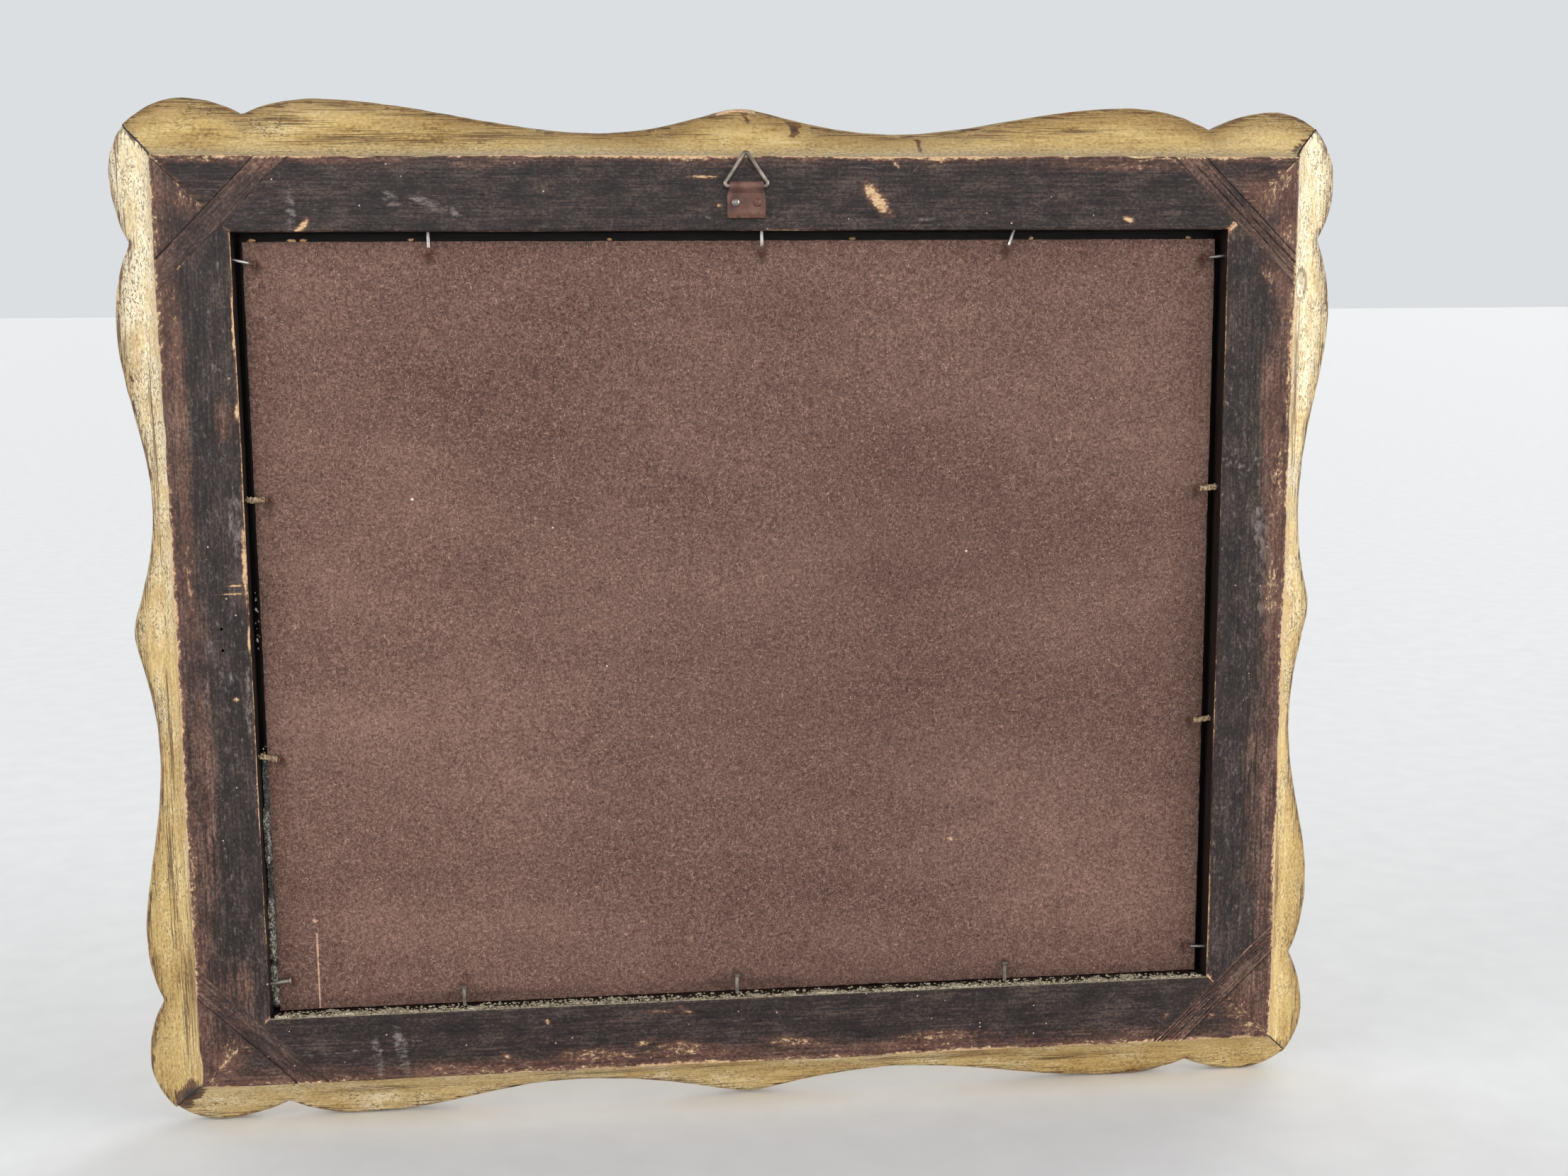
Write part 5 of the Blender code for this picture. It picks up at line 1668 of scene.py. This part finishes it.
def flower(share, angle):
    petals = 0.2 + 0.24 * np.abs(np.cos(3 * angle)) ** 0.7
    height = ease(petals - share, 0, 0.1) * (0.55 + 0.45 * np.cos(3 * angle) ** 2)
    return np.maximum(height, ease(0.1 - share, 0, 0.05))


def sunburst(share, angle):
    rays = (0.5 + 0.5 * np.cos(16 * angle)) * ease(share, 0.16, 0.22) * ease(-share, -0.48, -0.3)
    return np.maximum(rays * 0.8, ease(0.17 - share, 0, 0.08))


def knot(share, angle):
    bands = 0.24 + 0.17 * np.abs(np.cos(2 * angle)) ** 0.5
    height = ease(bands - share, 0, 0.08) - 0.6 * ease(bands - 0.1 - share, 0, 0.06)
    return np.maximum(height, ease(0.1 - share, 0, 0.04))


def wreath(share, angle):
    """Height of two branches of leaves, which meet at the top and at the bottom."""
    lean = np.where(angle > 0, 1, -1)
    from_top = np.abs(angle - np.pi / 2 + 2 * np.pi * (angle < -np.pi / 2))
    leaf = np.cos(26 * from_top + lean * 22 * (share - 0.64))
    leaves = ease(leaf, -0.35, 0.6) * ease(0.11 - np.abs(share - 0.64), 0, 0.06)
    return np.maximum(leaves, 0.5 * ease(0.02 - np.abs(share - 0.64), 0, 0.02))


def coin_mesh(name, row, diameter, material):
    """Struck disc about z: rim, row of dots, wreath and a plain ornament, all raised from its field."""
    radius = diameter / 2
    middle, border = np.linspace(0.03, 0.76, 34), np.linspace(0.79, 0.9, 8)
    shares = np.concatenate([middle, border, [0.915, 0.93, 0.965, 0.99, 1.0]])
    angles = np.linspace(-np.pi, np.pi, COIN_POINTS, endpoint=False)
    share, angle = np.meshgrid(shares, angles, indexing="ij")
    ornament = (star, flower, sunburst, knot)[row - 1]
    relief = np.maximum(ornament(share, angle), 0.75 * wreath(share, angle))
    dots = ease(0.5 + 0.5 * np.cos(COIN_DOTS * angle), 0.3, 0.8)
    relief = np.maximum(relief, dots * ease(0.035 - np.abs(share - 0.85), 0, 0.03) * 0.6)
    rim = ease(share, 0.905, 0.93) * (1 - 0.35 * ease(share, 0.97, 1.0))
    relief = np.maximum(relief, rim)
    level = COIN_THICKNESS - COIN_RELIEF + COIN_RELIEF * relief
    x, y = share * radius * np.cos(angle), share * radius * np.sin(angle)
    points = np.stack([x, y, level], -1).reshape(-1, 3)
    low = points[-COIN_POINTS:].copy()
    low[:, 2] = 0
    faces = grid_faces(len(shares) + 1, COIN_POINTS, closed=True)
    faces += [tuple(range(first, first + COIN_POINTS)) for first in (0, len(points))]
    mesh = mesh_of_points(name, np.concatenate([points, low]).tolist(), faces)
    add_attributes(mesh, relief=np.concatenate([relief.ravel(), np.zeros(COIN_POINTS)]))
    settle(mesh, (material,), 50)
    return mesh


def build_coins(silver, bronze):
    for column, row, x, z, diameter in coin_cells():
        node = f"coin_{row}_{column}"
        kind, material = ("coin_silver", silver) if row % 2 == 1 else ("coin_bronze", bronze)
        mesh = coin_mesh(node + "_mesh", row, diameter, material)
        tilt = rotation((row * 37 + column * 23) % 17 - 8, "Z")
        mesh.transform(Matrix.Translation((x, BACK_Y - PANEL_BACK, CENTRE_Z + z)) @ rotation(90, "X") @ tilt)
        show(node + "_struck", mesh, (node,))


def build_panel(material):
    """Felted panel with a hole for each coin, its front edge rounded."""
    half, low, high = sheet_spans()
    back = BACK_Y - PANEL_BACK
    shape = bmesh.new()
    prism([(-half, low), (half, low), (half, high), (-half, high)], back - PANEL_THICKNESS, back, shape)
    face_outwards(shape)
    holes = bmesh.new()
    lip_start = PANEL_THICKNESS - HOLE_LIP
    front = PANEL_THICKNESS + CUTTER_OVERRUN
    for _, _, x, z, diameter in coin_cells():
        radius = diameter / 2 + FIT
        profile = [(0, -CUTTER_OVERRUN), (radius, -CUTTER_OVERRUN), (radius, lip_start)]
        for angle in np.linspace(0.3, 1.45, 5):
            across, up = HOLE_LIP * (1 - math.cos(angle)), HOLE_LIP * math.sin(angle)
            profile.append((radius + across, lip_start + up))
        profile += [(radius + HOLE_LIP, front), (0, front)]
        turned(profile, 72, holes, Matrix.Translation((x, back, z)) @ rotation(90, "X"))
    face_outwards(holes)
    mesh = difference(mesh_of_shape("coin_panel_mesh", shape), mesh_of_shape("cutter", holes))
    mesh.transform(Matrix.Translation((0, 0, CENTRE_Z)))
    settle(mesh, (material,), 40)
    show("coin_panel_felted", mesh, ("coin_panel",))


def dress_node(node, material):
    """Gives a CAD node that is shown as it is its material."""
    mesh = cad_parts[node].data
    mesh.materials.clear()
    mesh.materials.append(material)


def build_floor():
    corners = [(FLOOR_HALF * x, FLOOR_HALF * y, 0) for x, y in ((-1, -1), (1, -1), (1, 1), (-1, 1))]
    mesh = mesh_of_points("floor_mesh", corners, [(0, 1, 2, 3)])
    mesh.materials.append(paper_material())
    floor = new_object("floor", mesh)


def build_world():
    """Soft light from all round, seen by camera, glossy and transmitted rays as a plain grey."""
    world = bpy.data.worlds.new("studio")
    bpy.context.scene.world = world
    world.use_nodes = True
    tree = world.node_tree
    light = tree.nodes["Background"]
    light.inputs["Color"].default_value = (0.98, 0.99, 1.0, 1)
    light.inputs["Strength"].default_value = 0.45
    seen = tree.nodes.new("ShaderNodeBackground")
    seen.inputs["Color"].default_value = tint(220, 223, 226)
    path = tree.nodes.new("ShaderNodeLightPath")
    choice = tree.nodes.new("ShaderNodeMixShader")
    shown = path.outputs["Is Camera Ray"]
    for kind in ("Is Glossy Ray", "Is Transmission Ray"):
        either = tree.nodes.new("ShaderNodeMath")
        either.operation = "MAXIMUM"
        tree.links.new(shown, either.inputs[0])
        tree.links.new(path.outputs[kind], either.inputs[1])
        shown = either.outputs[0]
    for socket, source in zip(choice.inputs, (shown, light.outputs[0], seen.outputs[0])):
        tree.links.new(source, socket)
    tree.links.new(choice.outputs[0], tree.nodes["World Output"].inputs["Surface"])


def build_lights():
    """Wide soft lights from far places, as even over the floor as over the part."""
    for name, place, strength, spread, colour in LAMPS:
        data = bpy.data.lights.new(name, "SUN")
        data.energy = strength
        data.angle = math.radians(spread)
        data.color = colour
        lamp = new_object(name, data)
        lamp.location = place
        lamp.rotation_mode = "QUATERNION"
        lamp.rotation_quaternion = Vector(place).to_track_quat("Z", "Y")


def build_camera():
    data = bpy.data.cameras.new("photo_camera")
    data.sensor_width = CAMERA_SENSOR
    data.lens = CAMERA_LENS
    data.clip_start = 0.01
    data.clip_end = 60
    camera = new_object("photo_camera", data)
    camera.location = CAMERA_PLACE
    camera.rotation_euler = [math.radians(angle) for angle in CAMERA_TURN]
    bpy.context.scene.camera = camera


def build():
    wood = stained_wood()
    gilt = gilding()
    steel = ((120, 116, 110), (158, 154, 149), (192, 189, 184))
    grey = ((104, 98, 90), (142, 136, 126), (180, 174, 164))
    brown = ((104, 96, 86), (136, 127, 115), (166, 158, 146))
    rusty = ((78, 53, 47), (104, 73, 65), (124, 92, 82))
    shiny = metal("brad_bright_steel", steel, 0.16, 0.95, rust=0.12)
    dull = metal("brad_grey_steel", grey, 0.38, 0.7, rust=0.1)
    wire = metal("hanger_wire_steel", brown, 0.24, 0.9, rust=0.1)
    strap = metal("hanger_rusted_sheet", rusty, 0.42, 0.35, rust=0.15, scale=700)
    crust = crumb_material("brad_crust", (78, 50, 34), (162, 136, 106), (218, 202, 174))
    pale = crumb_material("rebate_crumbs", (88, 80, 66), (160, 150, 128), (212, 204, 182))
    fluff = crumb_material("gap_lint", (74, 71, 66), (134, 130, 122), (188, 184, 174))
    tan = crumb_material("wood_chips", (140, 98, 62), (196, 152, 108), (222, 188, 148))
    silver = coin_material("struck_silver", (70, 66, 62), (160, 157, 152), (214, 212, 206))
    bronze = coin_material("struck_bronze", (56, 32, 18), (136, 88, 50), (196, 140, 88))
    build_camera()
    build_mouldings(wood, gilt)
    build_keys(wood)
    build_board(fibreboard())
    build_brads(shiny, dull, crust)
    build_strap(strap)
    build_ring(wire)
    build_pins(shiny)
    build_dust(pale, fluff, tan)
    build_beads(gilt)
    build_coins(silver, bronze)
    build_panel(felt_material())
    dress_node("glass_pane", glass_material())
    dress_node("base_card", card_material())
    build_floor()
    build_world()
    build_lights()
    bpy.context.scene.view_settings.view_transform = "Standard"


build()
